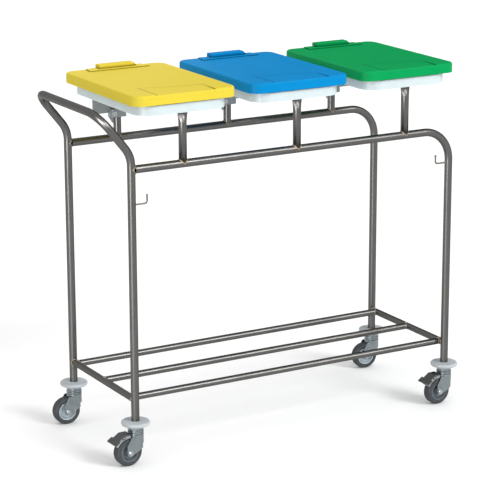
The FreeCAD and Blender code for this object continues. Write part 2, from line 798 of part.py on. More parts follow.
def lid(unit_name, unit):
    """A moulded lid: a shallow shell with a raised rear panel, a hinge block and a finger ramp."""
    body = new_body("lid_" + unit_name)
    half = lid_width / 2
    outline = new_sketch(body, "XY_Plane")
    draw_rounded(outline, -1 * half, half, -1 * lid_front, lid_back, lid_corner)
    feature(body, "Pad", outline, lid_height)
    fillet(body, lid_edge, lid_top_edges)
    hollow = new_sketch(body, "XY_Plane")
    draw_rounded(hollow, lid_wall - half, half - lid_wall, lid_wall - lid_front, lid_back - lid_wall,
                 lid_corner - lid_wall)
    feature(body, "Pocket", hollow, lid_height - lid_skin, backwards=True)
    panel = new_sketch(body, "XY_Plane", lid_height - OVERLAP)
    panel_half = step_width / 2
    panel_back = lid_back - lid_edge
    draw_polygon(panel, [(-1 * panel_half, lid_back - step_depth), (panel_half, lid_back - step_depth),
                         (panel_half - lid_edge, panel_back), (lid_edge - panel_half, panel_back)])
    feature(body, "Pad", panel, step_rise + OVERLAP)
    block_half = hinge_block_width / 2
    block_front = lid_back - hinge_block_depth
    block = new_sketch(body, "XY_Plane", lid_height - lid_edge)
    draw_polygon(block, [(-1 * block_half, block_front), (block_half, block_front),
                         (block_half, lid_back), (-1 * block_half, lid_back)])
    feature(body, "Pad", block, lid_edge + hinge_block_rise)
    fillet(body, hinge_block_wall - OVERLAP / 2, hinge_block_edges)
    slope = new_sketch(body, "XZ_Plane", hinge_block_depth / 2 - lid_back)
    panel_top = lid_height + step_rise - OVERLAP
    draw_polygon(slope, [(block_half - OVERLAP, panel_top), (block_half + hinge_block_slope, panel_top),
                         (block_half - OVERLAP, panel_top + hinge_block_slope)])
    feature(body, "Pad", slope, hinge_block_depth - 2 * hinge_block_wall, both_ways=True)
    wall = hinge_block_wall
    cavity = new_sketch(body, "XY_Plane")
    draw_polygon(cavity, [(wall - block_half, block_front + wall), (block_half - wall, block_front + wall),
                          (block_half - wall, lid_back - wall), (wall - block_half, lid_back - wall)])
    feature(body, "Pocket", cavity, lid_height + hinge_block_rise - wall, backwards=True)
    notch = new_sketch(body, "XY_Plane")
    draw_polygon(notch, [(wall - block_half, lid_back - wall - OVERLAP),
                         (block_half - wall, lid_back - wall - OVERLAP),
                         (block_half - wall, lid_back + OVERLAP), (wall - block_half, lid_back + OVERLAP)])
    feature(body, "Pocket", notch, lid_height + hinge_rise, backwards=True)
    pin_hole = new_sketch(body, "YZ_Plane")
    draw_circle(pin_hole, pin_r + pin_clearance, hinge_y, hinge_z - lid_bottom)
    feature(body, "Pocket", pin_hole, hinge_block_width + OVERLAP, both_ways=True)
    ramp = new_sketch(body, "YZ_Plane")
    past_front = -1 * lid_front - OVERLAP
    draw_polygon(ramp, [(grip_length - lid_front, lid_height), (past_front, lid_height + OVERLAP),
                        (past_front, lid_height - grip_depth)])
    feature(body, "Pocket", ramp, grip_width, both_ways=True)
    place(body, unit * unit_pitch, 0.0, lid_bottom)


def lid_top_edges(edge):
    """The upper edges of the lid's outline."""
    bounds = edge.BoundBox
    return bounds.ZLength < 1e-6 and abs(bounds.ZMin - float(lid_height)) < 1e-6


def hinge_block_edges(edge):
    """The hinge block's upper edges."""
    bounds = edge.BoundBox
    top = float(lid_height) + float(hinge_block_rise)
    return bounds.ZLength < 1e-6 and abs(bounds.ZMin - top) < 1e-6


# ---- screws -------------------------------------------------------------------------------------------

def screw(name, x, head_y, z, way, length, head_od, nut):
    """A socket button screw along Y: way is +1 when its shank points to +Y from under the head."""
    rotation = TO_Y if way > 0 else Rotation(Vector(1, 0, 0), 90)
    head = cylinder(name + "_head", head_od / 2, screw_head_height, x, head_y - way * screw_head_height, z,
                    rotation)
    shank = cylinder(name + "_shank", screw_r, length, x, head_y, z, rotation)
    pieces = [head, shank]
    if nut:
        nut_y = head_y + way * (length - nut_height)
        pieces.append(cylinder(name + "_nut", nut_od / 2, nut_height, x, nut_y, z, rotation))
    socket = cylinder(name + "_socket", screw_socket / 2, screw_head_height / 2, x,
                      head_y - way * screw_head_height, z, rotation)
    return cut(name, fuse(name + "_solid", pieces), [socket])


def screws():
    """The fasteners of the three units, like with like."""
    post_screws = []
    clamp_screws = []
    plate_screws = []
    collar_face = ring_channel + ring_wall - ring_front
    tab_far_face = leg_y + flat_thickness / 2
    for unit_name, unit in UNITS.items():
        x = unit * unit_pitch
        post_screws.append(screw("post_screw_" + unit_name, x, collar_face, tab_screw_z, -1,
                                 tab_far_face + collar_face + nut_height, screw_head_od, True))
        clamp_screws.append(screw("clamp_screw_" + unit_name, x - clamp_screw_offset,
                                  leg_y - bracket_depth / 2, bracket_bottom + bracket_height / 2, 1,
                                  bracket_depth + nut_height, clamp_head_od, True))
        for side in (-1, 1):
            plate_screws.append(screw(f"plate_screw_{unit_name}{side}", x + side * plate_screw_pitch / 2,
                                      ring_back, plate_screw_z, -1,
                                      ring_wall + plate_thickness + nut_height, screw_head_od, True))
    group("post_screws", post_screws)
    group("clamp_screws", clamp_screws)
    group("plate_screws", plate_screws)


# ---- casters ------------------------------------------------------------------------------------------

def at_leg(body, corner, back=0.0, height=0.0):
    """Put a caster piece at its leg, a distance behind it, and turned with its caster."""
    end, side, turn = corner
    x = end * leg_x - back * cosine(turn)
    y = side * leg_y - back * sine(turn)
    place(body, x, y, height, Rotation(Vector(0, 0, 1), float(turn)))
    body.setExpression(".Placement.Rotation.Angle", turn.formula)


def buffer(corner_name, corner):
    """The soft disc at the foot of a leg that keeps the frame off the walls."""
    body = new_body("buffer_" + corner_name)
    sketch = new_sketch(body, "XZ_Plane")
    bore = tube_r + buffer_fit
    outer = buffer_od / 2
    seat = leg_bottom - buffer_bottom
    stem = tube_bore - stem_fit
    draw_polygon(sketch, [(stem + buffer_fit, 0.0), (outer, 0.0), (outer, buffer_height),
                          (bore, buffer_height), (bore, seat - weld_gap),
                          (stem + buffer_fit, seat - weld_gap)])
    revolution(body, sketch)
    fillet(body, buffer_edge, circle_edge(outer, 0.0, buffer_height))
    end, side, _ = corner
    place(body, end * leg_x, side * leg_y, buffer_bottom)


def caster_stem(corner_name, corner):
    """The fixed half of a caster: plug in the leg, upper race and king pin with its riveted end."""
    body = new_body("caster_stem_" + corner_name)
    sketch = new_sketch(body, "XZ_Plane")
    pin = king_pin_od / 2
    rivet_top = crown_height - fork_crown - race_gap
    rivet_bottom = rivet_top - rivet_height
    plug = tube_bore - stem_fit
    race = race_od / 2
    race_top = buffer_bottom - weld_gap
    draw_polygon(sketch, [(0.0, rivet_bottom), (rivet_od / 2, rivet_bottom), (rivet_od / 2, rivet_top),
                          (pin, rivet_top), (pin, race_bottom), (race, race_bottom),
                          (race, race_top - race_edge), (race - race_edge, race_top), (plug, race_top),
                          (plug, leg_bottom + stem_length), (0.0, leg_bottom + stem_length)])
    revolution(body, sketch)
    end, side, _ = corner
    place(body, end * leg_x, side * leg_y, 0.0)


def fork_side(name, side):
    """One cheek of the fork: a plate beside the wheel, with the head's round wall carried down it."""
    body = plain_body(name)
    inner = fork_gap / 2
    barrel = head_od / 2
    middle = (inner + barrel) / 2
    back = -1 * trail - fork_toe
    sketch = new_sketch(body, "XZ_Plane", side * middle)
    draw_polygon(sketch, [(back, wheel_r), (-1 * trail, wheel_r - fork_toe),
                          (fork_toe - trail, wheel_r - fork_toe / 2), (fork_front, wheel_r + fork_toe),
                          (fork_front, crown_height), (-1 * barrel, crown_height),
                          (back, wheel_r + 2 * fork_toe)])
    feature(body, "Pad", sketch, barrel - inner, both_ways=True)
    toe = new_sketch(body, "XZ_Plane", side * middle)
    draw_circle(toe, fork_toe, -1 * trail, wheel_r)
    feature(body, "Pad", toe, barrel - inner, both_ways=True)
    shaved = fork_outer + barrel / 2
    slab = box(name + "_slab", 4 * barrel, barrel, 2 * crown_height, -3 * barrel,
               -1 * side * shaved - barrel / 2, 0.0)
    kept = cylinder(name + "_barrel", barrel, 2 * crown_height)
    return cut(name + "_cheek", body, [cut(name + "_shaving", slab, [kept])])


def fork_skirt(name):
    """The front of the fork: the head's round wall carried down in front of the wheel."""
    barrel = head_od / 2
    height = crown_height - skirt_bottom
    wall = cylinder(name + "_wall", barrel, height, 0.0, 0.0, skirt_bottom)
    hollow = cylinder(name + "_hollow", barrel - fork_plate, height * 3, 0.0, 0.0, skirt_bottom - height)
    rear = box(name + "_rear", barrel * 2, barrel * 4, height * 3, barrel * -2, barrel * -2,
               skirt_bottom - height)
    return cut(name + "_skirt", wall, [hollow, rear])


def caster_fork(corner_name, corner):
    """The swivelling half: grooved head, round-fronted housing and two cheeks that hold the axle."""
    name = "caster_fork_" + corner_name
    head = plain_body(name + "_head")
    sketch = new_sketch(head, "XZ_Plane")
    outer = head_od / 2
    bore = king_pin_od / 2 + king_pin_clearance
    bottom = crown_height - fork_crown
    top = crown_height + head_height
    low_groove = crown_height + head_height / 3
    high_groove = crown_height + head_height * 2 / 3
    draw_polygon(sketch, [(bore, bottom), (outer, bottom),
                          (outer, low_groove - head_groove), (outer - head_groove, low_groove),
                          (outer, low_groove + head_groove), (outer, high_groove - head_groove),
                          (outer - head_groove, high_groove), (outer, high_groove + head_groove),
                          (outer, top - head_groove), (outer - head_groove, top), (bore, top)])
    revolution(head, sketch)
    cheeks = [fork_side(f"{name}_side{number}", side) for number, side in enumerate((-1, 1))]
    crown = box(name + "_crown", fork_shoulder, fork_outer * 2, fork_crown,
                -1 * fork_shoulder, -1 * fork_outer, bottom)
    bore_tool = cylinder(name + "_king_bore", bore, crown_height, 0.0, 0.0, crown_height / 2)
    axle_hole = cylinder(name + "_axle_hole", axle_od / 2, fork_outer * 4, -1 * trail, fork_outer * -2,
                         wheel_r, TO_Y)
    fork = cut(name, fuse(name + "_solid", [head, crown, fork_skirt(name)] + cheeks),
               [bore_tool, axle_hole])
    at_leg(fork, corner)
    finished(fork, name)


def axle(corner_name, corner):
    """The wheel's bolt, headed at both ends."""
    body = new_body("axle_" + corner_name)
    sketch = new_sketch(body, "XY_Plane")
    shank = axle_od / 2
    head = axle_head_od / 2
    tip = fork_outer + axle_head_height
    edge = axle_head_height / 4
    draw_polygon(sketch, [(0.0, -1 * tip), (head - edge, -1 * tip), (head, edge - tip),
                          (head, -1 * fork_outer), (shank, -1 * fork_outer), (shank, fork_outer),
                          (head, fork_outer), (head, tip - edge), (head - edge, tip), (0.0, tip)])
    revolution(body, sketch)
    at_leg(body, corner, trail, wheel_r)


def wheel_hub(corner_name, corner):
    """The plastic wheel centre: rim, dished web and a boss that runs on the axle."""
    body = new_body("wheel_hub_" + corner_name)
    sketch = new_sketch(body, "XY_Plane")
    bore = axle_od / 2 + axle_clearance
    boss = hub_boss_od / 2
    rim = hub_od / 2
    profile = [(bore, hub_boss_width / 2), (boss, hub_boss_width / 2), (boss + hub_rim / 2, hub_web / 2),
               (rim - hub_rim, hub_web / 2), (rim - hub_rim / 2, hub_width / 2), (rim, hub_width / 2)]
    below = [(x, -1 * y) for x, y in reversed(profile)]
    draw_polygon(sketch, profile + below)
    revolution(body, sketch)
    at_leg(body, corner, trail, wheel_r)


def tyre(corner_name, corner):
    """The rubber tread moulded round the wheel centre."""
    body = new_body("tyre_" + corner_name)
    sketch = new_sketch(body, "XY_Plane")
    inner = hub_od / 2
    half = tyre_width / 2
    draw_polygon(sketch, [(inner, hub_width / -2), (inner + hub_rim / 2, -1 * half), (wheel_r, -1 * half),
                          (wheel_r, half), (inner + hub_rim / 2, half), (inner, hub_width / 2)])
    revolution(body, sketch)
    fillet(body, tyre_edge, circle_edge(wheel_r, half))
    at_leg(body, corner, trail, wheel_r)


def brake_cover(corner_name, corner):
    """The block that arches over the back of a braked wheel and carries the pedal's pin."""
    body = new_body("brake_cover_" + corner_name)
    sketch = new_sketch(body, "XZ_Plane")
    top = brake_pin_z + cover_top
    draw_polygon(sketch, [(cover_front, wheel_od), (cover_front, top), (brake_pin_x, top),
                          (cover_back, brake_pin_z - cover_drop), (cover_back, wheel_od - cover_drop),
                          (-1 * trail, wheel_r)])
    feature(body, "Pad", sketch, cover_width, both_ways=True)
    arch = new_sketch(body, "XZ_Plane")
    draw_circle(arch, wheel_r + cover_gap, -1 * trail, wheel_r)
    feature(body, "Pocket", arch, cover_width * 2, both_ways=True)
    bore = new_sketch(body, "XZ_Plane")
    draw_circle(bore, brake_pin_od / 2, brake_pin_x, brake_pin_z)
    feature(body, "Pocket", bore, cover_width * 2, both_ways=True)
    at_leg(body, corner)


def brake_pin(corner_name, corner):
    """The pin that the brake pedal turns on."""
    body = new_body("brake_pin_" + corner_name)
    sketch = new_sketch(body, "XZ_Plane")
    draw_circle(sketch, brake_pin_od / 2, brake_pin_x, brake_pin_z)
    feature(body, "Pad", sketch, cover_width + 2 * (cover_clearance + ear_width), both_ways=True)
    at_leg(body, corner)


def brake_pedal(corner_name, corner):
    """A bent pedal plate on two ears: its broad outer end is pressed down to hold the wheel."""
    body = new_body("brake_pedal_" + corner_name)
    ear_reach = cover_width + 2 * (cover_clearance + ear_width)
    top = brake_pin_z + pedal_rise
    under = top - pedal_thickness
    toe_x = brake_pin_x - pedal_length
    bend_x = toe_x + pedal_toe
    slope = pedal_drop / pedal_length
    bend_drop = (pedal_length - pedal_toe) * slope
    plate = new_sketch(body, "XZ_Plane")
    draw_polygon(plate, [(cover_front, under), (cover_front, top), (brake_pin_x, top),
                         (toe_x, top - pedal_drop), (toe_x, under - pedal_drop), (brake_pin_x, under)])
    feature(body, "Pad", plate, ear_reach, both_ways=True)
    toe = new_sketch(body, "XZ_Plane")
    draw_polygon(toe, [(bend_x, top - bend_drop), (toe_x, top - pedal_drop),
                       (toe_x, under - pedal_drop), (bend_x, under - bend_drop)])
    feature(body, "Pad", toe, pedal_width, both_ways=True)
    for side in (-1, 1):
        ear = new_sketch(body, "XZ_Plane", side * (ear_reach - ear_width) / 2)
        draw_circle(ear, ear_od / 2, brake_pin_x, brake_pin_z)
        feature(body, "Pad", ear, ear_width, both_ways=True)
    hole = new_sketch(body, "XZ_Plane")
    draw_circle(hole, brake_pin_od / 2 + pin_clearance, brake_pin_x, brake_pin_z)
    feature(body, "Pocket", hole, ear_reach + OVERLAP, both_ways=True)
    at_leg(body, corner)


def build():
    handle_tube()
    for side_name, side in SIDES.items():
        rail_tube(side_name, side)
    cross_tubes()
    shelf_tubes()
    for end_name, end in (("left", -1), ("right", 1)):
        hook(end_name, end)
    for unit_name, unit in UNITS.items():
        front_post(unit_name, unit)
        rear_post(unit_name, unit)
        ring_bracket(unit_name, unit)
        bag_ring(unit_name, unit)
        lid(unit_name, unit)
    hinge_pins()
    screws()
    for corner_name, corner in CASTERS.items():
        buffer(corner_name, corner)
        caster_stem(corner_name, corner)
        caster_fork(corner_name, corner)
        axle(corner_name, corner)
        wheel_hub(corner_name, corner)
        tyre(corner_name, corner)
        if corner_name.startswith("front"):
            brake_cover(corner_name, corner)
            brake_pin(corner_name, corner)
            brake_pedal(corner_name, corner)


def check_and_export():
    """Stop if anything in the document failed, then write one file for each sub-part."""
    doc.recompute()
    for item in doc.Objects:
        if "Invalid" in item.State or "Error" in item.State:
            raise ValueError(f"{item.Name} failed: {item.State}")
    os.makedirs("parts", exist_ok=True)
    for item in PARTS:
        shape = item.Shape
        if shape.isNull() or not shape.isValid():
            raise ValueError(f"{item.Label} has no valid shape")
        shape.exportStep(f"parts/{item.Label}.step")
        print(item.Label, len(shape.Solids), round(shape.Volume))


build()
check_and_export()
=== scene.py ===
# %% [markdown]
# # A laundry sorter on wheels
#
# The real object is a welded frame of stainless tube on four swivel casters. A push handle rises at one
# end, three tubes make a low shelf, and three posts on each rail carry plastic rings that laundry bags
# hang from. A yellow, a blue and a green lid close the rings. This lesson dresses the measured model: it
# gives every part a finish, and swaps the plain tubes, mouldings and castings for finer meshes.

# %% Load the measured model
import json
import math

import bmesh
import bpy
from mathutils import Matrix, Vector

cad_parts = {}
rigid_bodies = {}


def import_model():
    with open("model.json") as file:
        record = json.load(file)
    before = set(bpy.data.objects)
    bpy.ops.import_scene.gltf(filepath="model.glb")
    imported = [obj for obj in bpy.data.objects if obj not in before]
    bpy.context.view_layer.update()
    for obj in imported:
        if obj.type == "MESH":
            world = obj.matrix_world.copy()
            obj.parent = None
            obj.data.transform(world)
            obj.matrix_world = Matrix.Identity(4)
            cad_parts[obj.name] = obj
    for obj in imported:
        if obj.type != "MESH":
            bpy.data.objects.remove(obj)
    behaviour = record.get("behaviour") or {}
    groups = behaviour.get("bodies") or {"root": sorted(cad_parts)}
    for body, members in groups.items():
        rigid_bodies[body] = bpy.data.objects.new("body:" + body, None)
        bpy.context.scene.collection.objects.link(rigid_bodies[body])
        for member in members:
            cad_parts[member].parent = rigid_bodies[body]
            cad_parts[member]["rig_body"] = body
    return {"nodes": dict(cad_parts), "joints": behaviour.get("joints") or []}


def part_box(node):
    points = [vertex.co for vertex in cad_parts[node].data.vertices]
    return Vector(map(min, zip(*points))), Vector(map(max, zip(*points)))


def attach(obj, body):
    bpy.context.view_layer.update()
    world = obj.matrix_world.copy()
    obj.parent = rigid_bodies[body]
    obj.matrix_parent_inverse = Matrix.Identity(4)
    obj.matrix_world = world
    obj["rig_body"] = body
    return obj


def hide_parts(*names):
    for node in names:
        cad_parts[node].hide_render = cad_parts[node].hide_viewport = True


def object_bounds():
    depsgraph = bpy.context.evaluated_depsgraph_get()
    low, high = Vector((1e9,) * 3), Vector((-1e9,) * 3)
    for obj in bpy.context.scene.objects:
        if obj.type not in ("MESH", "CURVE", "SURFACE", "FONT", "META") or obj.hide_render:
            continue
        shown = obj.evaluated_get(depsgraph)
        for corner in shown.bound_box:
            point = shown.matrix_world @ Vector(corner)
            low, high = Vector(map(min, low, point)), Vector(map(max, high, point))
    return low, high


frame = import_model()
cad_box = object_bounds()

# %% [markdown]
# ## Writing shaders as sums
#
# A finish is a small sum: this much noise, that much wear. Drawn as nodes, a sum takes a screenful of
# boxes, so here one class wraps a node's output and gives it plus, minus and times. A number can stand on
# either side of the sign, because each operator has its reflected form.

# %% A value that changes over a surface
class Amount:
    def __init__(self, finish, socket):
        self.finish = finish
        self.socket = socket

    def __add__(self, other):
        return self.finish.maths("ADD", self, other)

    __radd__ = __add__

    def __sub__(self, other):
        return self.finish.maths("SUBTRACT", self, other)

    def __rsub__(self, other):
        return self.finish.maths("SUBTRACT", other, self)

    def __mul__(self, other):
        return self.finish.maths("MULTIPLY", self, other)

    __rmul__ = __mul__


print("a value takes +, - and *, with a number on either side")

# %% [markdown]
# The second class is the finish itself. Every node comes from its one `node` method, which takes the
# node's type, then its settings, then what goes into its sockets. The other methods are named for what
# they do to the surface, so that a finish reads like a recipe.

# %% A finish and the nodes it is made of
class Finish:
    def __init__(self, name):
        self.material = bpy.data.materials.new(name)
        self.material.use_nodes = True
        self.tree = self.material.node_tree
        self.tree.nodes.clear()

    def node(self, kind, settings, sockets, output=0):
        """Add one node, with its settings first and then the value or link of each socket."""
        item = self.tree.nodes.new(kind)
        for name, value in settings.items():
            if name == "stops":
                ends = item.color_ramp.elements
                for stop, (position, shade) in zip(ends, value):
                    stop.position = position
                    stop.color = (shade, shade, shade, 1.0)
            else:
                setattr(item, name, value)
        for name, value in sockets.items():
            if isinstance(value, Amount):
                self.tree.links.new(value.socket, item.inputs[name])
            elif isinstance(value, tuple) and len(item.inputs[name].default_value) == 4:
                item.inputs[name].default_value = (*value, 1.0)
            else:
                item.inputs[name].default_value = value
        return Amount(self, item.outputs[output]) if item.outputs else None

    def maths(self, operation, first, second):
        return self.node("ShaderNodeMath", {"operation": operation}, {0: first, 1: second})

    def place(self, stretch=(1.0, 1.0, 1.0)):
        """Where a point is in its own piece, squeezed or stretched along each axis."""
        spot = self.node("ShaderNodeTexCoord", {}, {}, "Object")
        return self.node("ShaderNodeVectorMath", {"operation": "MULTIPLY"}, {0: spot, 1: stretch})

    def noise(self, where, scale, detail=3.0, roughness=0.5):
        """Soft random patches, from 0 to 1, about one over the scale across, in metres."""
        sockets = {"Vector": where, "Scale": scale, "Detail": detail, "Roughness": roughness}
        return self.node("ShaderNodeTexNoise", {}, sockets)

    def between(self, value, low, high):
        """0 below the first value, 1 above the second, and a straight ramp between them."""
        stops = {"stops": [(low, 0.0), (high, 1.0)]}
        return self.node("ShaderNodeValToRGB", stops, {"Fac": value})

    def blend(self, share, first, second):
        """One colour turning into another as the share goes from 0 to 1."""
        return self.node("ShaderNodeMix", {"data_type": "RGBA"}, {0: share, 6: first, 7: second}, 2)

    def raised(self, heights, depth):
        """A fine relief of a depth in metres."""
        return self.node("ShaderNodeBump", {}, {"Strength": 1.0, "Distance": depth, "Height": heights})

    def ramp(self, value, start, end):
        """0 up to the start, 1 from the end on, however close together they are."""
        return self.node("ShaderNodeMapRange", {}, {"Value": value, "From Min": start, "From Max": end})

    def near(self, distance, reach):
        """1 where a distance is 0, falling to 0 at the reach on either side."""
        return 1.0 - self.ramp(self.maths("ABSOLUTE", distance, 0.0), reach * 0.4, reach)

    def corner_shade(self, reach):
        """Painted shade: 1 deep in the inner corners and 0 in the open, from how much of the sky a point can
        see.
        """
        sky = self.node("ShaderNodeAmbientOcclusion", {"samples": 6, "only_local": True}, {"Distance": reach},
                        "AO")
        return self.between(1.0 - sky, 0.04, 0.42)

    def edges(self, radius):
        """1 on sharp edges and 0 on flat stretches, from how far a rounded normal leans."""
        rounded = self.node("ShaderNodeBevel", {"samples": 4}, {"Radius": radius})
        flat = self.node("ShaderNodeNewGeometry", {}, {}, "Normal")
        lean = self.node("ShaderNodeVectorMath", {"operation": "DOT_PRODUCT"}, {0: rounded, 1: flat}, "Value")
        return self.between(1.0 - lean, 0.004, 0.12)

    def surface(self, varying, constant):
        """Close the recipe: what varies over the surface, and what is the same all over it."""
        shader = self.node("ShaderNodeBsdfPrincipled", {}, {**constant, **varying})
        self.node("ShaderNodeOutputMaterial", {}, {"Surface": shader})
        return self.material


print("a finish can use", ", ".join(name for name in vars(Finish) if not name.startswith("_")))

# %% [markdown]
# ## Drawn tube
#
# Stainless tube is drawn through a die and then belt-brushed, so its marks run along it, bends included.
# Each tube mesh below remembers where every point lay while the tube was still straight, as an attribute
# named `straight`. Noise that is read there and squeezed along the length turns into fine lines that
# follow the bends, as the real marks do. Handling leaves faint duller patches.

# %% Brushed stainless tube
def tube_steel():
    finish = Finish("tube_steel")
    straight = finish.node("ShaderNodeAttribute", {"attribute_name": "straight"}, {}, "Vector")
    lengthways = {"operation": "MULTIPLY"}
    lines_at = finish.node("ShaderNodeVectorMath", lengthways, {0: straight, 1: (1.0, 1.0, 0.02)})
    lines = finish.noise(lines_at, 2600.0, 4.0, 0.65)
    streaks = finish.noise(lines_at, 420.0, 3.0, 0.6)
    patches = finish.noise(straight, 9.0, 4.0, 0.6)
    handled = finish.between(patches, 0.42, 0.68)
    grey = finish.blend(streaks, (0.085, 0.083, 0.080), (0.15, 0.147, 0.143))
    colour = finish.blend(handled * 0.45, grey, (0.095, 0.093, 0.09))
    varying = {
        "Base Color": colour,
        "Roughness": 0.22 + lines * 0.16 + handled * 0.09,
        "Normal": finish.raised(lines + streaks * 0.6, 0.00002),
    }
    return finish.surface(varying, {"Metallic": 1.0, "Specular Tint": (0.6, 0.6, 0.6)})


steel = tube_steel()
print("made", steel.name)

# %% [markdown]
# ## Welds
#
# Each tube end is shaped to sit on its neighbour and is welded all round. A weld bead is a string of
# small overlapping ripples, dull beside the brushed tube and tinted straw and blue by the heat.

# %% Weld metal
def weld_metal():
    finish = Finish("weld_metal")
    where = finish.place()
    heat = finish.noise(where, 140.0, 3.0)
    scale = finish.noise(where, 900.0, 4.0, 0.7)
    straw = finish.blend(finish.between(heat, 0.35, 0.6), (0.21, 0.19, 0.16), (0.27, 0.21, 0.13))
    colour = finish.blend(finish.between(heat, 0.58, 0.72), straw, (0.13, 0.15, 0.21))
    varying = {
        "Base Color": colour,
        "Roughness": 0.34 + scale * 0.22,
        "Normal": finish.raised(scale, 0.00012),
    }
    return finish.surface(varying, {"Metallic": 1.0})


weld = weld_metal()
print("made", weld.name)

# %% [markdown]
# ## Moulded plastic
#
# The lids are injection moulded with a fine spark-eroded texture, which takes the mirror out of the gloss.
# One recipe serves all three, given a colour and where the lid's middle lies. The colour drifts a little
# with the flow of the melt, worn edges are a shade lighter, and hands leave faint wipes and scratches.
#
# The finger ramp at the front of a lid starts in a shallow arc and has a short step at its left. Both are
# so low that only a thin line of shade gives them away, so they are drawn into the finish as lines.

# %% Lines of the finger ramp
RAMP_LEFT = -0.098
RAMP_RIGHT = 0.13
RAMP_FADE = 0.09
RAMP_TOP = -0.126
ARC_CURVE = 0.745
ARC_SLANT = 0.192
ARC_FRONT = 0.152
LINE_REACH = 0.0028
LINE_SHIFT = 0.0014
FACES_UP = (0.6, 0.8)


def ramp_lines(finish, where, centre):
    """The finger ramp's arc and its left step, about a lid's own middle line, as a mask for painted lines of
    shade.
    """
    across = finish.node("ShaderNodeSeparateXYZ", {}, {"Vector": where}, "X") - centre
    along = finish.node("ShaderNodeSeparateXYZ", {}, {"Vector": where}, "Y")
    arc = across * across * ARC_CURVE - across * ARC_SLANT - ARC_FRONT
    starts = finish.ramp(across, RAMP_LEFT, RAMP_LEFT + 0.02)
    inside = starts * (1.0 - finish.ramp(across, RAMP_FADE, RAMP_RIGHT))
    fold = finish.near(along - arc, LINE_REACH) * inside * 0.6
    left = finish.near(across - RAMP_LEFT + LINE_SHIFT, LINE_REACH)
    step = left * (1.0 - finish.ramp(along, RAMP_TOP, RAMP_TOP + 0.004))
    facing = finish.node("ShaderNodeTexCoord", {}, {}, "Normal")
    upwards = finish.node("ShaderNodeSeparateXYZ", {}, {"Vector": facing}, "Z")
    return finish.maths("MAXIMUM", fold, step) * finish.ramp(upwards, *FACES_UP)


print(f"the ramp's arc runs {RAMP_RIGHT - RAMP_LEFT:.3f} m across a lid")

# %% [markdown]
# The lids' colour is mixed from the inside out: first the flow of the melt, then scratches, then worn
# edges, and last the shade in the corners and along the ramp. The three lids stand one post pitch apart.

# %% Lid plastic
LID_PITCH = 0.398


def lid_plastic(name, colour, centre):
    finish = Finish(name)
    deep = tuple(part * 0.86 for part in colour)
    worn = tuple(part * 0.8 + 0.14 for part in colour)
    where = finish.place()
    flow = finish.noise(finish.place((1.0, 0.35, 1.0)), 7.0, 3.0)
    grain = finish.noise(where, 2400.0, 2.0, 0.6)
    wiped = finish.between(finish.noise(finish.place((0.25, 1.0, 1.0)), 26.0, 5.0, 0.65), 0.5, 0.75)
    scratches = finish.between(finish.noise(finish.place((0.04, 1.0, 1.0)), 620.0, 2.0, 0.5), 0.69, 0.76)
    shade = finish.blend(flow, colour, deep)
    marked = finish.blend(scratches * 0.22, shade, worn)
    lit = finish.blend(finish.edges(0.0012) * 0.35, marked, worn)
    lines = ramp_lines(finish, where, centre)
    # Painted shade in the inner corners and along the ramp's lines.
    shadow = finish.maths("MAXIMUM", finish.corner_shade(0.007), lines * 0.85)
    varying = {
        "Base Color": finish.blend(shadow, lit, tuple(part * 0.22 for part in colour)),
        "Roughness": 0.38 + grain * 0.12 + wiped * 0.1,
        "Normal": finish.raised(grain - scratches * 0.35 - lines * 4.0, 0.00005),
    }
    return finish.surface(varying, {"IOR": 1.49, "Specular IOR Level": 0.04})


lid_colours = {
    "left": ("yellow_lid", (0.70, 0.56, 0.05), -LID_PITCH),
    "middle": ("blue_lid", (0.0004, 0.232, 0.545), 0.0),
    "right": ("green_lid", (0.001, 0.315, 0.085), LID_PITCH),
}
lid_finishes = {unit: lid_plastic(*recipe) for unit, recipe in lid_colours.items()}
print("lids in", ", ".join(name for name, *_ in lid_colours.values()))

# %% [markdown]
# The bag rings are the same process in white, and collect a little grey lint dust in patches and specks.
# The casters' plastic centres and the soft buffers need the same three things: a base colour, a second
# colour for age or dust, and a grain. So one function makes them all.

# %% Plain moulded parts
def moulded(name, colour, aged, roughness, grain_scale, grain_depth, patch_scale=14.0):
    finish = Finish(name)
    where = finish.place()
    patches = finish.between(finish.noise(where, patch_scale, 5.0, 0.62), 0.38, 0.74)
    grain = finish.noise(where, grain_scale, 3.0, 0.6)
    specks = finish.between(finish.noise(where, patch_scale * 22.0, 2.0, 0.5), 0.66, 0.74)
    shade = finish.blend(patches * 0.5, colour, aged)
    marked = finish.blend(specks * 0.3, shade, aged)
    worn = tuple(min(1.0, part * 0.85 + 0.1) for part in colour)
    clean = finish.blend(finish.edges(0.0008) * 0.4, marked, worn)
    varying = {
        # Painted shade darkens the inner corners towards a deep tone of the aged colour.
        "Base Color": finish.blend(finish.corner_shade(0.005) * 0.6, clean, tuple(part * 0.3 for part in aged)),
        "Roughness": roughness - 0.06 + grain * 0.1 + patches * 0.06,
        "Normal": finish.raised(grain, grain_depth),
    }
    return finish.surface(varying, {"IOR": 1.48})


ring_white = moulded("ring_white", (0.56, 0.645, 0.665), (0.48, 0.55, 0.57), 0.42, 1900.0, 0.00004)
buffer_grey = moulded("buffer_grey", (0.42, 0.455, 0.48), (0.33, 0.355, 0.375), 0.55, 1500.0, 0.00006, 30.0)
hub_grey = moulded("hub_grey", (0.13, 0.155, 0.175), (0.08, 0.09, 0.095), 0.42, 1600.0, 0.00004, 40.0)
hub_pale = moulded("hub_pale", (0.50, 0.58, 0.64), (0.36, 0.40, 0.43), 0.42, 1600.0, 0.00004, 40.0)
cover_grey = moulded("cover_grey", (0.24, 0.27, 0.285), (0.17, 0.185, 0.195), 0.45, 1600.0, 0.00005, 40.0)
print("five moulded finishes")

# %% [markdown]
# ## Tyres
#
# The tyres are dark grey rubber that leaves no marks on a hospital floor. A matt, gritty surface takes the
# light softly. Rolling presses pale dust into it in patches, and grit leaves small cuts, which show dark.

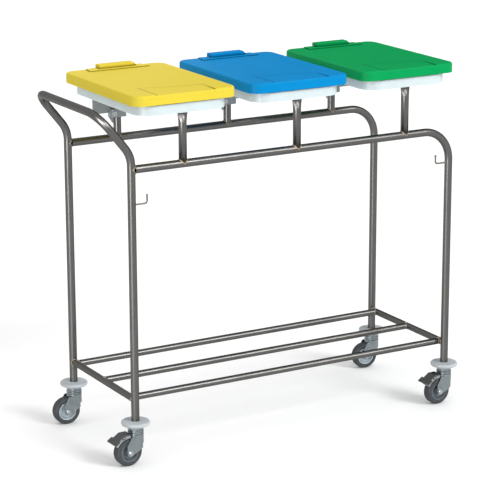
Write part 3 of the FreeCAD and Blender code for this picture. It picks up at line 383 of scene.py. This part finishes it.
# %% Non-marking rubber
def tyre_rubber():
    finish = Finish("tyre_rubber")
    where = finish.place()
    grit = finish.noise(where, 1100.0, 4.0, 0.7)
    dust = finish.between(finish.noise(where, 55.0, 5.0, 0.65), 0.4, 0.7)
    cuts = finish.between(finish.noise(where, 260.0, 3.0, 0.6), 0.66, 0.72)
    colour = finish.blend(dust * 0.55, (0.036, 0.041, 0.046), (0.075, 0.08, 0.085))
    varying = {
        "Base Color": finish.blend(cuts * 0.5, colour, (0.03, 0.03, 0.03)),
        "Roughness": 0.6 + grit * 0.22,
        "Normal": finish.raised(grit - cuts * 0.8, 0.00016),
    }
    return finish.surface(varying, {"IOR": 1.5, "Specular IOR Level": 0.25})


tyre = tyre_rubber()
print("made", tyre.name)

# %% [markdown]
# ## Zinc and paint
#
# Forks and races are pressed steel with a thin zinc coat: a cool grey metal with a faint crystalline
# mottle. Screws and axles are the same metal, turned smoother. The ring brackets are cast and coated with
# grey powder paint, which has the dimples of an orange's skin. The pedals are black and rub bright along
# their edges, where shoes meet them.

# %% Bright and coated metals
def zinc(name, light, dark, roughness):
    finish = Finish(name)
    where = finish.place()
    crystals = finish.node("ShaderNodeTexVoronoi", {"feature": "F1"}, {"Vector": where, "Scale": 330.0},
                           "Color")
    mottle = finish.between(crystals, 0.2, 0.9)
    haze = finish.noise(where, 60.0, 5.0, 0.65)
    grain = finish.noise(where, 1700.0, 3.0, 0.6)
    grime = finish.between(finish.noise(where, 24.0, 5.0, 0.6), 0.52, 0.75)
    coat = finish.blend(mottle * 0.1 + haze * 0.5, dark, light)
    # Grime in random patches is real dirt; the inner corners get painted shade. Both darken the coat.
    grime_and_corner_shade = finish.maths("MAXIMUM", grime * 0.3, finish.corner_shade(0.005) * 0.8)
    varying = {
        "Base Color": finish.blend(grime_and_corner_shade, coat, tuple(part * 0.3 for part in dark)),
        "Roughness": roughness + haze * 0.14 + grime * 0.1,
        "Normal": finish.raised(grain + mottle * 0.1, 0.000015),
    }
    return finish.surface(varying, {"Metallic": 1.0})


def powder_paint(name, colour, bare, wear):
    finish = Finish(name)
    where = finish.place()
    skin = finish.noise(where, 520.0, 2.0, 0.45)
    scuffs = finish.between(finish.noise(where, 90.0, 5.0, 0.7), 0.55, 0.8)
    rubbed = finish.edges(0.0011) * (0.4 + scuffs) * wear
    varying = {
        "Base Color": finish.blend(rubbed, colour, bare),
        "Roughness": 0.36 + skin * 0.12 + scuffs * 0.1,
        "Metallic": rubbed,
        "Normal": finish.raised(skin, 0.0001),
    }
    return finish.surface(varying, {"IOR": 1.5})


fork_zinc = zinc("fork_zinc", (0.29, 0.33, 0.345), (0.19, 0.215, 0.225), 0.16)
bolt_zinc = zinc("bolt_zinc", (0.55, 0.56, 0.57), (0.34, 0.35, 0.36), 0.2)
bracket_paint = powder_paint("bracket_paint", (0.22, 0.25, 0.275), (0.45, 0.46, 0.47), 0.35)
pedal_black = powder_paint("pedal_black", (0.022, 0.023, 0.025), (0.4, 0.4, 0.4), 0.8)
print("four metals")

# %% [markdown]
# ## Giving the measured parts their finish
#
# A part that already has its final shape keeps its mesh and only gets a material. The table goes from the
# start of a part's name to its finish, so one line serves a part that is there four times.

# %% Dress the parts
finish_by_name = {
    "hook_": steel, "hinge_pins": bolt_zinc, "post_screws": bolt_zinc, "clamp_screws": bolt_zinc,
    "plate_screws": bolt_zinc, "buffer_": buffer_grey, "caster_stem_": fork_zinc, "axle_": bolt_zinc,
    "wheel_hub_front": hub_grey, "wheel_hub_rear": hub_pale, "tyre_": tyre, "brake_pin_": bolt_zinc,
}

dressed = 0
for node_name, piece in frame["nodes"].items():
    for start, material in finish_by_name.items():
        if node_name.startswith(start):
            piece.data.materials.clear()
            piece.data.materials.append(material)
            dressed += 1
print(dressed, "parts dressed")

# %% [markdown]
# ## Tubes
#
# A bent tube is a circle carried along a line of straight runs and round bends. The measured tubes are
# right in size but have few sides, and their highlights show it, so each is made again with many sides.
# The circle's frame is carried from one step to the next by the smallest turn, which keeps it from
# twisting, and the wall is given its thickness at the open ends.

# %% Lines with round bends
BEND_STEP = math.radians(4.0)


def bend_line(corners, radii):
    """Points and directions along straight runs joined by round bends."""
    line = [(corners[0], (corners[1] - corners[0]).normalized())]
    for number, radius in enumerate(radii):
        before, corner, after = corners[number:number + 3]
        ahead = (corner - before).normalized()
        away = (after - corner).normalized()
        turn = ahead.angle(away)
        reach = radius * math.tan(turn / 2)
        axis = ahead.cross(away).normalized()
        entry = corner - ahead * reach
        centre = entry + axis.cross(ahead) * radius
        steps = math.ceil(turn / BEND_STEP)
        for step in range(steps + 1):
            spin = Matrix.Rotation(turn * step / steps, 3, axis)
            line.append((centre + spin @ (entry - centre), spin @ ahead))
    line.append((corners[-1], (corners[-1] - corners[-2]).normalized()))
    return line


def add_piece(name, shape, material, body):
    """Turn a bmesh into a smooth piece that rides on a body."""
    bmesh.ops.recalc_face_normals(shape, faces=shape.faces)
    mesh = bpy.data.meshes.new(name)
    shape.to_mesh(mesh)
    shape.free()
    mesh.shade_smooth()
    piece = bpy.data.objects.new(name, mesh)
    bpy.context.scene.collection.objects.link(piece)
    mesh.materials.append(material)
    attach(piece, body)
    return piece


print(f"a quarter bend has {math.ceil(math.radians(90) / BEND_STEP)} steps")

# %% [markdown]
# The sweep takes a function that gives the section at each step, so the same code draws a plain tube, a
# post whose end is squashed flat, and a rippled weld bead.

# %% Carry a section along a line
SIDES = 56


def sweep_rings(shape, line, section, place_layer=None, sides=SIDES, leans=None):
    """Rings of vertices along a line; section(step, angle) gives a point's offset across the line."""
    rings = []
    tangent = line[0][1]
    across = tangent.orthogonal().normalized()
    length = 0.0
    for step, (spot, direction) in enumerate(line):
        across = tangent.rotation_difference(direction) @ across
        if leans:
            across = (leans[step] - direction * leans[step].dot(direction)).normalized()
        tangent = direction
        up = tangent.cross(across)
        length += (spot - line[max(step - 1, 0)][0]).length
        ring = []
        for side in range(sides):
            angle = math.tau * side / sides
            near, far = section(step, angle)
            vertex = shape.verts.new(spot + across * near + up * far)
            if place_layer:
                vertex[place_layer] = (near, far, length)
            ring.append(vertex)
        rings.append(ring)
    return rings


def join_rings(shape, first, second):
    for side, vertex in enumerate(first):
        following = (side + 1) % len(first)
        shape.faces.new((vertex, first[following], second[following], second[side]))


print("a tube has", SIDES, "sides")

# %% [markdown]
# A tube has two skins, one outside and one inside. A rim at each end joins them, so that an open end shows
# the wall's real thickness. The rims are marked sharp, or their shading would bleed along the tube.

# %% A tube with a bore
WALL = 0.0015
RIM_ANGLE = math.radians(40.0)


def tube(name, node, line, radius):
    """A tube with a bore: an outer and an inner skin that meet at both ends."""
    shape = bmesh.new()
    place_layer = shape.verts.layers.float_vector.new("straight")
    skins = []
    for skin_radius in (radius, radius - WALL):
        def section(step, angle, skin_radius=skin_radius):
            return skin_radius * math.cos(angle), skin_radius * math.sin(angle)
        skins.append(sweep_rings(shape, line, section, place_layer))
    for rings in skins:
        for first, second in zip(rings, rings[1:]):
            join_rings(shape, first, second)
    for end in (0, -1):
        join_rings(shape, skins[0][end], skins[1][end])
    piece = add_piece(name, shape, steel, "frame")
    piece.data.set_sharp_from_angle(angle=RIM_ANGLE)
    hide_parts(node)


print(f"the wall is {WALL * 1000} mm thick")

# %% [markdown]
# ## The frame's tubes
#
# The legs stand where the casters turn, so their places come from the swivel joints. The handle and both
# left legs are one tube with four bends: 65 mm corners beside the hands and wide knees below them. Each
# right leg is one tube with its rail. Rungs and posts are straight, and run into the tube they are welded
# to, where the bead hides the joint.

# %% Sizes read from the model
joints = {joint["name"]: joint for joint in frame["joints"]}
leg = {name: Vector(joints[name + "_swivel"]["pos_m"]) for name in
       ("front_left", "front_right", "rear_left", "rear_right")}
post_low, post_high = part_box("rear_post_left")
tube_r = (post_high.x - post_low.x) / 2
rung_low, rung_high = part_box("middle_shelf_tube")
rung_r = (rung_high.z - rung_low.z) / 2
shelf_z = (rung_high.z + rung_low.z) / 2
handle_low, handle_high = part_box("handle_leg_tube")
rail_low, rail_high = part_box("front_rail_leg_tube")
rail_z = rail_high.z - tube_r
left_x = leg["front_left"].x
right_x = leg["front_right"].x
print(f"tube {tube_r * 2000:.1f} mm, rung {rung_r * 2000:.1f} mm, rails at {rail_z:.3f} m")

# %% [markdown]
# A bend's radius belongs to the bending tool, so both knees share one and both corners at the hands share
# another. A tube that ends at a neighbour stops just inside its wall, a share of the radius from its axis.

# %% Handle, rails and rungs
KNEE_RISE = 0.042
KNEE_BEND = 0.090
HANDLE_BEND = 0.065
RAIL_BEND = 0.097
INSIDE_WALL = 0.9

knee_z = rail_z + KNEE_RISE
bar_x = handle_low.x + tube_r
bar_z = handle_high.z - tube_r
handle_corners = []
for corner_name, order in (("front_left", 1), ("rear_left", -1)):
    y = leg[corner_name].y
    run = [Vector((left_x, y, handle_low.z)), Vector((left_x, y, knee_z)), Vector((bar_x, y, bar_z))]
    handle_corners += run[::order]
handle_line = bend_line(handle_corners, [KNEE_BEND, HANDLE_BEND, HANDLE_BEND, KNEE_BEND])
tube("handle_tube", "handle_leg_tube", handle_line, tube_r)

for side_name in ("front", "rear"):
    y = leg[side_name + "_right"].y
    corners = [Vector((left_x + tube_r * INSIDE_WALL, y, rail_z)), Vector((right_x, y, rail_z)),
               Vector((right_x, y, rail_low.z))]
    tube(side_name + "_rail", side_name + "_rail_leg_tube", bend_line(corners, [RAIL_BEND]), tube_r)

for end_name, x in (("left", left_x), ("right", right_x)):
    ends = [Vector((x, leg["front_left"].y + tube_r * INSIDE_WALL, shelf_z)),
            Vector((x, leg["rear_left"].y - tube_r * INSIDE_WALL, shelf_z))]
    tube(end_name + "_rung", end_name + "_cross_tube", bend_line(ends, []), rung_r)

for row_name in ("front", "middle", "rear"):
    low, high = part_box(row_name + "_shelf_tube")
    y = (low.y + high.y) / 2
    inset = rung_r * INSIDE_WALL
    ends = [Vector((left_x + inset, y, shelf_z)), Vector((right_x - inset, y, shelf_z))]
    tube(row_name + "_shelf", row_name + "_shelf_tube", bend_line(ends, []), rung_r)
print("eight frame tubes")

# %% [markdown]
# ## Posts
#
# A front post is squashed in a press until its end is a flat tab, wide enough for a screw. Under the press
# the round section gets wider as it gets thinner. The squash is eased in and out here, so that light
# breaks over it in the bright wedge that every flattened tube has. A rear post stays round, because it
# ends inside its bracket.

# %% Squashed posts and plain posts
FLAT_RISE = 0.036
FLAT_STEPS = 20
FLAT_HALF_THICKNESS = 0.0032
TAB_END = ((0.0035, 1.0), (0.001, 0.97), (0.0, 0.88))
UPWARDS = Vector((0, 0, 1))
ALONG_X = Vector((1, 0, 0))


def squashed_post(unit):
    """A round tube whose end is pressed flat inside the ring's channel."""
    low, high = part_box("front_post_" + unit)
    half_width = (high.x - low.x) / 2
    flat_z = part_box("bag_ring_" + unit)[0].z
    stages = [(rail_z, 0.0, 1.0)]
    for step in range(FLAT_STEPS + 1):
        share = step / FLAT_STEPS
        eased = share * share * (3 - 2 * share)
        stages.append((flat_z - FLAT_RISE * (1 - share), eased, 1.0))
    stages += [(high.z - drop, 1.0, size) for drop, size in TAB_END]
    line = [(Vector(((low.x + high.x) / 2, leg["front_left"].y, z)), UPWARDS) for z, _, _ in stages]

    def section(step, angle):
        _, squash, size = stages[step]
        wide = tube_r + (half_width - tube_r) * squash
        thin = tube_r + (FLAT_HALF_THICKNESS - tube_r) * squash
        return wide * size * math.cos(angle), thin * size * math.sin(angle)

    shape = bmesh.new()
    place_layer = shape.verts.layers.float_vector.new("straight")
    rings = sweep_rings(shape, line, section, place_layer, leans=[ALONG_X] * len(line))
    for first, second in zip(rings, rings[1:]):
        join_rings(shape, first, second)
    shape.faces.new(rings[0])
    shape.faces.new(rings[-1])
    piece = add_piece("squashed_post_" + unit, shape, steel, "frame")
    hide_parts("front_post_" + unit)


units = ("left", "middle", "right")
for unit in units:
    squashed_post(unit)
    low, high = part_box("rear_post_" + unit)
    x = (low.x + high.x) / 2
    y = (low.y + high.y) / 2
    ends = [Vector((x, y, rail_z + tube_r * 0.5)), Vector((x, y, high.z))]
    tube("round_post_" + unit, "rear_post_" + unit, bend_line(ends, []), tube_r)
print("six posts")

# %% [markdown]
# ## Weld beads
#
# Where one tube stands on another, their surfaces meet in a saddle-shaped line. For an angle round the
# branch tube, the height of the saddle is what is left of the main tube's radius after stepping sideways,
# by Pythagoras. The bead is a small ring carried round that line, and its size swells once for each
# ripple of the welder's hand.

# %% A bead round a branch tube
BEAD_SIDES = 10
RIPPLE = 0.0023
STEPS_PER_RIPPLE = 6
SADDLE_STRETCH = 1.15
BEAD_THIN = 0.86
BEAD_SWELL = 0.22
OUTWARD_LEAN = 0.6


def weld_bead(shape, centre, main, branch, main_r, branch_r, bead_r):
    """A rippled bead where a branch leaves a main tube, whose axis passes through the centre."""
    sideways = main.cross(branch)
    ripples = round(math.tau * branch_r * SADDLE_STRETCH / RIPPLE)
    count = ripples * STEPS_PER_RIPPLE

    def saddle(step):
        angle = math.tau * step / count
        aside = branch_r * math.sin(angle)
        rise = math.sqrt(max(main_r ** 2 - aside ** 2, 0.0))
        return centre + main * (branch_r * math.cos(angle)) + sideways * aside + branch * rise

    line = []
    leans = []
    for step in range(count):
        line.append((saddle(step), (saddle(step + 1) - saddle(step - 1)).normalized()))
        angle = math.tau * step / count
        leans.append(main * math.cos(angle) + sideways * math.sin(angle) + branch * OUTWARD_LEAN)

    def section(step, angle):
        swell = BEAD_THIN + BEAD_SWELL * abs(math.sin(math.pi * step / STEPS_PER_RIPPLE))
        return bead_r * swell * math.cos(angle), bead_r * swell * math.sin(angle)

    rings = sweep_rings(shape, line, section, sides=BEAD_SIDES, leans=leans)
    for first, second in zip(rings, rings[1:] + rings[:1]):
        join_rings(shape, first, second)


print(f"one ripple every {RIPPLE * 1000} mm")

# %% [markdown]
# A bead goes wherever a tube end meets another tube: both rails on the left legs, six posts on the rails,
# the cross tubes on the legs, the shelf tubes on the cross tubes, and the two wire hooks.

# %% Weld the frame
ALONG_Y = Vector((0, 1, 0))
TUBE_BEAD = 0.0019
RUNG_BEAD = 0.0017
HOOK_BEAD = 0.0011
HOOK_WIRE_R = 0.0025


def weld_joints(name, joints_to_weld):
    shape = bmesh.new()
    for joint in joints_to_weld:
        weld_bead(shape, *joint)
    piece = add_piece(name, shape, weld, "frame")


rail_joints = []
for side in ("front", "rear"):
    spot = Vector((left_x, leg[side + "_left"].y, rail_z))
    rail_joints.append((spot, UPWARDS, ALONG_X, tube_r, tube_r, TUBE_BEAD))
post_joints = []
for unit in units:
    low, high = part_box("rear_post_" + unit)
    for side in ("front", "rear"):
        spot = Vector(((low.x + high.x) / 2, leg[side + "_left"].y, rail_z))
        post_joints.append((spot, ALONG_X, UPWARDS, tube_r, tube_r, TUBE_BEAD))
weld_joints("rail_welds", rail_joints + post_joints)

cross_joints = []
for foot in leg.values():
    spot = Vector((foot.x, foot.y, shelf_z))
    inwards = ALONG_Y * (-1 if foot.y > 0 else 1)
    cross_joints.append((spot, UPWARDS, inwards, tube_r, rung_r, RUNG_BEAD))
shelf_joints = []
for row_name in ("front", "middle", "rear"):
    low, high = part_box(row_name + "_shelf_tube")
    for x, inwards in ((left_x, ALONG_X), (right_x, ALONG_X * -1)):
        spot = Vector((x, (low.y + high.y) / 2, shelf_z))
        shelf_joints.append((spot, ALONG_Y, inwards, rung_r, rung_r, RUNG_BEAD))
weld_joints("shelf_welds", cross_joints + shelf_joints)

hook_joints = []
for end_name, x, inwards in (("left", left_x, ALONG_X), ("right", right_x, ALONG_X * -1)):
    low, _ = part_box("hook_" + end_name)
    spot = Vector((x, leg["front_left"].y, low.z + HOOK_WIRE_R))
    hook_joints.append((spot, UPWARDS, inwards, tube_r, HOOK_WIRE_R, HOOK_BEAD))
weld_joints("hook_welds", hook_joints)
print(len(rail_joints + post_joints + cross_joints + shelf_joints + hook_joints), "welds")

# %% [markdown]
# ## Softened edges
#
# No moulded or cast part has a perfectly sharp edge: the mould's own corners are rounded, and paint
# builds up on them. A thin bright line along each edge is what tells the eye so. A copy of the measured
# part gets that line from a bevel which only acts on sharp edges, and weighted normals keep its flat
# faces flat.

# %% Copies with rounded edges
FLAT_ANGLE = math.radians(0.4)
SHARP_ANGLE = math.radians(28.0)
SAME_SPOT = 0.00001
EDGE_STEPS = 3


def softened(node, name, material, radius):
    source = frame["nodes"][node]
    shape = bmesh.new()
    shape.from_mesh(source.data)
    bmesh.ops.remove_doubles(shape, verts=shape.verts, dist=SAME_SPOT)
    bmesh.ops.dissolve_limit(shape, angle_limit=FLAT_ANGLE, verts=shape.verts, edges=shape.edges)
    piece = add_piece(name, shape, material, source["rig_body"])
    bevel = piece.modifiers.new("rounded_edges", "BEVEL")
    bevel.width = radius
    bevel.segments = EDGE_STEPS
    bevel.limit_method = "ANGLE"
    bevel.angle_limit = SHARP_ANGLE
    piece.modifiers.new("flat_faces", "WEIGHTED_NORMAL")
    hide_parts(node)
    return piece


print(f"edges sharper than {math.degrees(SHARP_ANGLE):.0f} degrees get rounded in {EDGE_STEPS} steps")

# %% [markdown]
# The radius says how a part was made. A thick moulding has generous corners and a pressed sheet has tight
# ones, so each kind of part has its own.

# %% Lids, rings, brackets, forks and brakes
LID_EDGE = 0.0011
RING_EDGE = 0.0008
BRACKET_EDGE = 0.0012
FORK_EDGE = 0.0006
COVER_EDGE = 0.0014
PEDAL_EDGE = 0.0007

for unit in units:
    softened("lid_" + unit, "moulded_lid_" + unit, lid_finishes[unit], LID_EDGE)
    softened("bag_ring_" + unit, "moulded_ring_" + unit, ring_white, RING_EDGE)
    softened("ring_bracket_" + unit, "cast_bracket_" + unit, bracket_paint, BRACKET_EDGE)
for corner in leg:
    softened("caster_fork_" + corner, "pressed_fork_" + corner, fork_zinc, FORK_EDGE)
for corner in ("front_left", "front_right"):
    softened("brake_cover_" + corner, "moulded_cover_" + corner, cover_grey, COVER_EDGE)
    softened("brake_pedal_" + corner, "pressed_pedal_" + corner, pedal_black, PEDAL_EDGE)
print("lids, rings, brackets, forks and brakes softened")

# %% [markdown]
# ## The studio
#
# A catalogue view of a trolley is taken on a white sweep: a pale floor that runs out of sight under an even
# white sky. A large flat disc does it here, because a curved backdrop would stand in the way of views
# from behind.

# %% Floor and sky
def pale_floor():
    finish = Finish("pale_floor")
    where = finish.place()
    drift = finish.noise(where, 0.7, 2.0)
    grain = finish.noise(where, 900.0, 2.0)
    colour = finish.blend(drift, (0.90, 0.90, 0.90), (0.93, 0.93, 0.93))
    varying = {"Base Color": colour, "Roughness": 0.6 + drift * 0.1, "Normal": finish.raised(grain, 0.00002)}
    return finish.surface(varying, {"Specular IOR Level": 0.2})


FLOOR_RADIUS = 45.0
FLOOR_SIDES = 96
floor_shape = bmesh.new()
bmesh.ops.create_circle(floor_shape, cap_ends=True, radius=FLOOR_RADIUS, segments=FLOOR_SIDES)
floor_mesh = bpy.data.meshes.new("studio_floor")
floor_shape.to_mesh(floor_mesh)
floor_shape.free()
floor = bpy.data.objects.new("studio_floor", floor_mesh)
bpy.context.scene.collection.objects.link(floor)
floor_mesh.materials.append(pale_floor())

SKY_STRENGTH = 0.95
world = bpy.data.worlds.new("white_sky")
bpy.context.scene.world = world
world.use_nodes = True
sky = world.node_tree.nodes["Background"]
sky.inputs["Color"].default_value = (1.0, 1.0, 1.0, 1.0)
sky.inputs["Strength"].default_value = SKY_STRENGTH
bpy.context.scene.view_settings.view_transform = "Standard"
print("floor", FLOOR_RADIUS * 2, "m across")

# %% [markdown]
# A broad key light from the front shades the lids. Two strip lights draw a bright line down every upright
# tube and along every lying one. They are for the metal's reflections only and add no light of their own
# to matt surfaces.

# %% Key light and strip lights
KEY_STRENGTH = 1.8
KEY_SPREAD = math.radians(22.0)


def aim(thing, spot, target):
    thing.location = spot
    thing.rotation_euler = (target - spot).to_track_quat("-Z", "Y").to_euler()


def add_light(name, kind, energy, spot, target, sizes):
    lamp = bpy.data.lights.new(name, kind)
    lamp.energy = energy
    for setting, value in sizes.items():
        setattr(lamp, setting, value)
    light = bpy.data.objects.new(name, lamp)
    light.visible_camera = False
    bpy.context.scene.collection.objects.link(light)
    aim(light, spot, target)
    return light


middle = (cad_box[0] + cad_box[1]) / 2
key_from = Vector((2.4, -4.6, 3.6))
add_light("key", "SUN", KEY_STRENGTH, key_from, Vector((0, 0, 0)), {"angle": KEY_SPREAD})
for name, energy, spot, sizes in (
        ("upright_strip", 330.0, Vector((-4.2, -2.65, 1.5)), {"size": 0.35, "size_y": 3.0}),
        ("lying_strip", 420.0, Vector((-2.9, -4.4, 2.9)), {"size": 5.0, "size_y": 0.3})):
    strip = add_light(name, "AREA", energy, spot, middle, {"shape": "RECTANGLE", **sizes})
    strip.visible_diffuse = False
print("a key light and two strips")

# %% [markdown]
# Bare metal in an all-white room looks flat, so three black cards hang round the sorter. Only the metal
# and the gloss see them, where they draw the dark edges that make a tube look round.

# %% Black cards
def black_felt():
    finish = Finish("black_felt")
    fluff = finish.noise(finish.place(), 300.0, 4.0)
    varying = {"Base Color": finish.blend(fluff, (0.012, 0.012, 0.012), (0.03, 0.03, 0.03)),
               "Roughness": 0.9 + fluff * 0.1, "Normal": finish.raised(fluff, 0.001)}
    return finish.surface(varying, {"Specular IOR Level": 0.1})


felt = black_felt()
CARD_WIDTH = 5.0
CARD_HEIGHT = 6.0
CARD_DISTANCE = 4.5
CARD_BEARINGS = (35.0, 205.0, -115.0)
for number, bearing in enumerate(CARD_BEARINGS):
    shape = bmesh.new()
    bmesh.ops.create_grid(shape, x_segments=1, y_segments=1, size=0.5)
    mesh = bpy.data.meshes.new("card")
    shape.to_mesh(mesh)
    shape.free()
    mesh.materials.append(felt)
    card = bpy.data.objects.new(f"black_card_{number}", mesh)
    card.scale = (CARD_WIDTH, CARD_HEIGHT, 1.0)
    away = Vector((math.cos(math.radians(bearing)), math.sin(math.radians(bearing)), 0.0))
    aim(card, away * CARD_DISTANCE + Vector((0, 0, CARD_HEIGHT / 2)), Vector((0, 0, CARD_HEIGHT / 2)))
    for ray in ("camera", "diffuse", "shadow", "transmission"):
        setattr(card, "visible_" + ray, False)
    bpy.context.scene.collection.objects.link(card)
print(len(CARD_BEARINGS), "black cards")

# %% [markdown]
# ## The camera
#
# A long lens from nearly seven metres keeps the legs almost parallel, as a catalogue does. The camera
# stands thirty degrees towards the handle end and fifteen degrees above the sorter's middle.

# %% Camera
AZIMUTH = math.radians(-29.98)
ELEVATION = math.radians(15.086)
ROLL = math.radians(-0.13)
DISTANCE = 6.7865
LOOKS_AT = Vector((-0.0415, 0.0, 0.5524))
lens = bpy.data.cameras.new("long_lens")
lens.sensor_width = 36.0
lens.lens = 152.73
camera = bpy.data.objects.new("camera", lens)
bpy.context.scene.collection.objects.link(camera)
towards = Vector((math.sin(AZIMUTH) * math.cos(ELEVATION), -math.cos(AZIMUTH) * math.cos(ELEVATION),
                  math.sin(ELEVATION)))
aim(camera, LOOKS_AT + towards * DISTANCE, LOOKS_AT)
camera.rotation_euler = (camera.rotation_euler.to_matrix() @ Matrix.Rotation(ROLL, 3, "Z")).to_euler()
bpy.context.scene.camera = camera
print("camera at", tuple(round(value, 3) for value in camera.location))

# %% [markdown]
# ## Size
#
# Looks never change the size of the object.
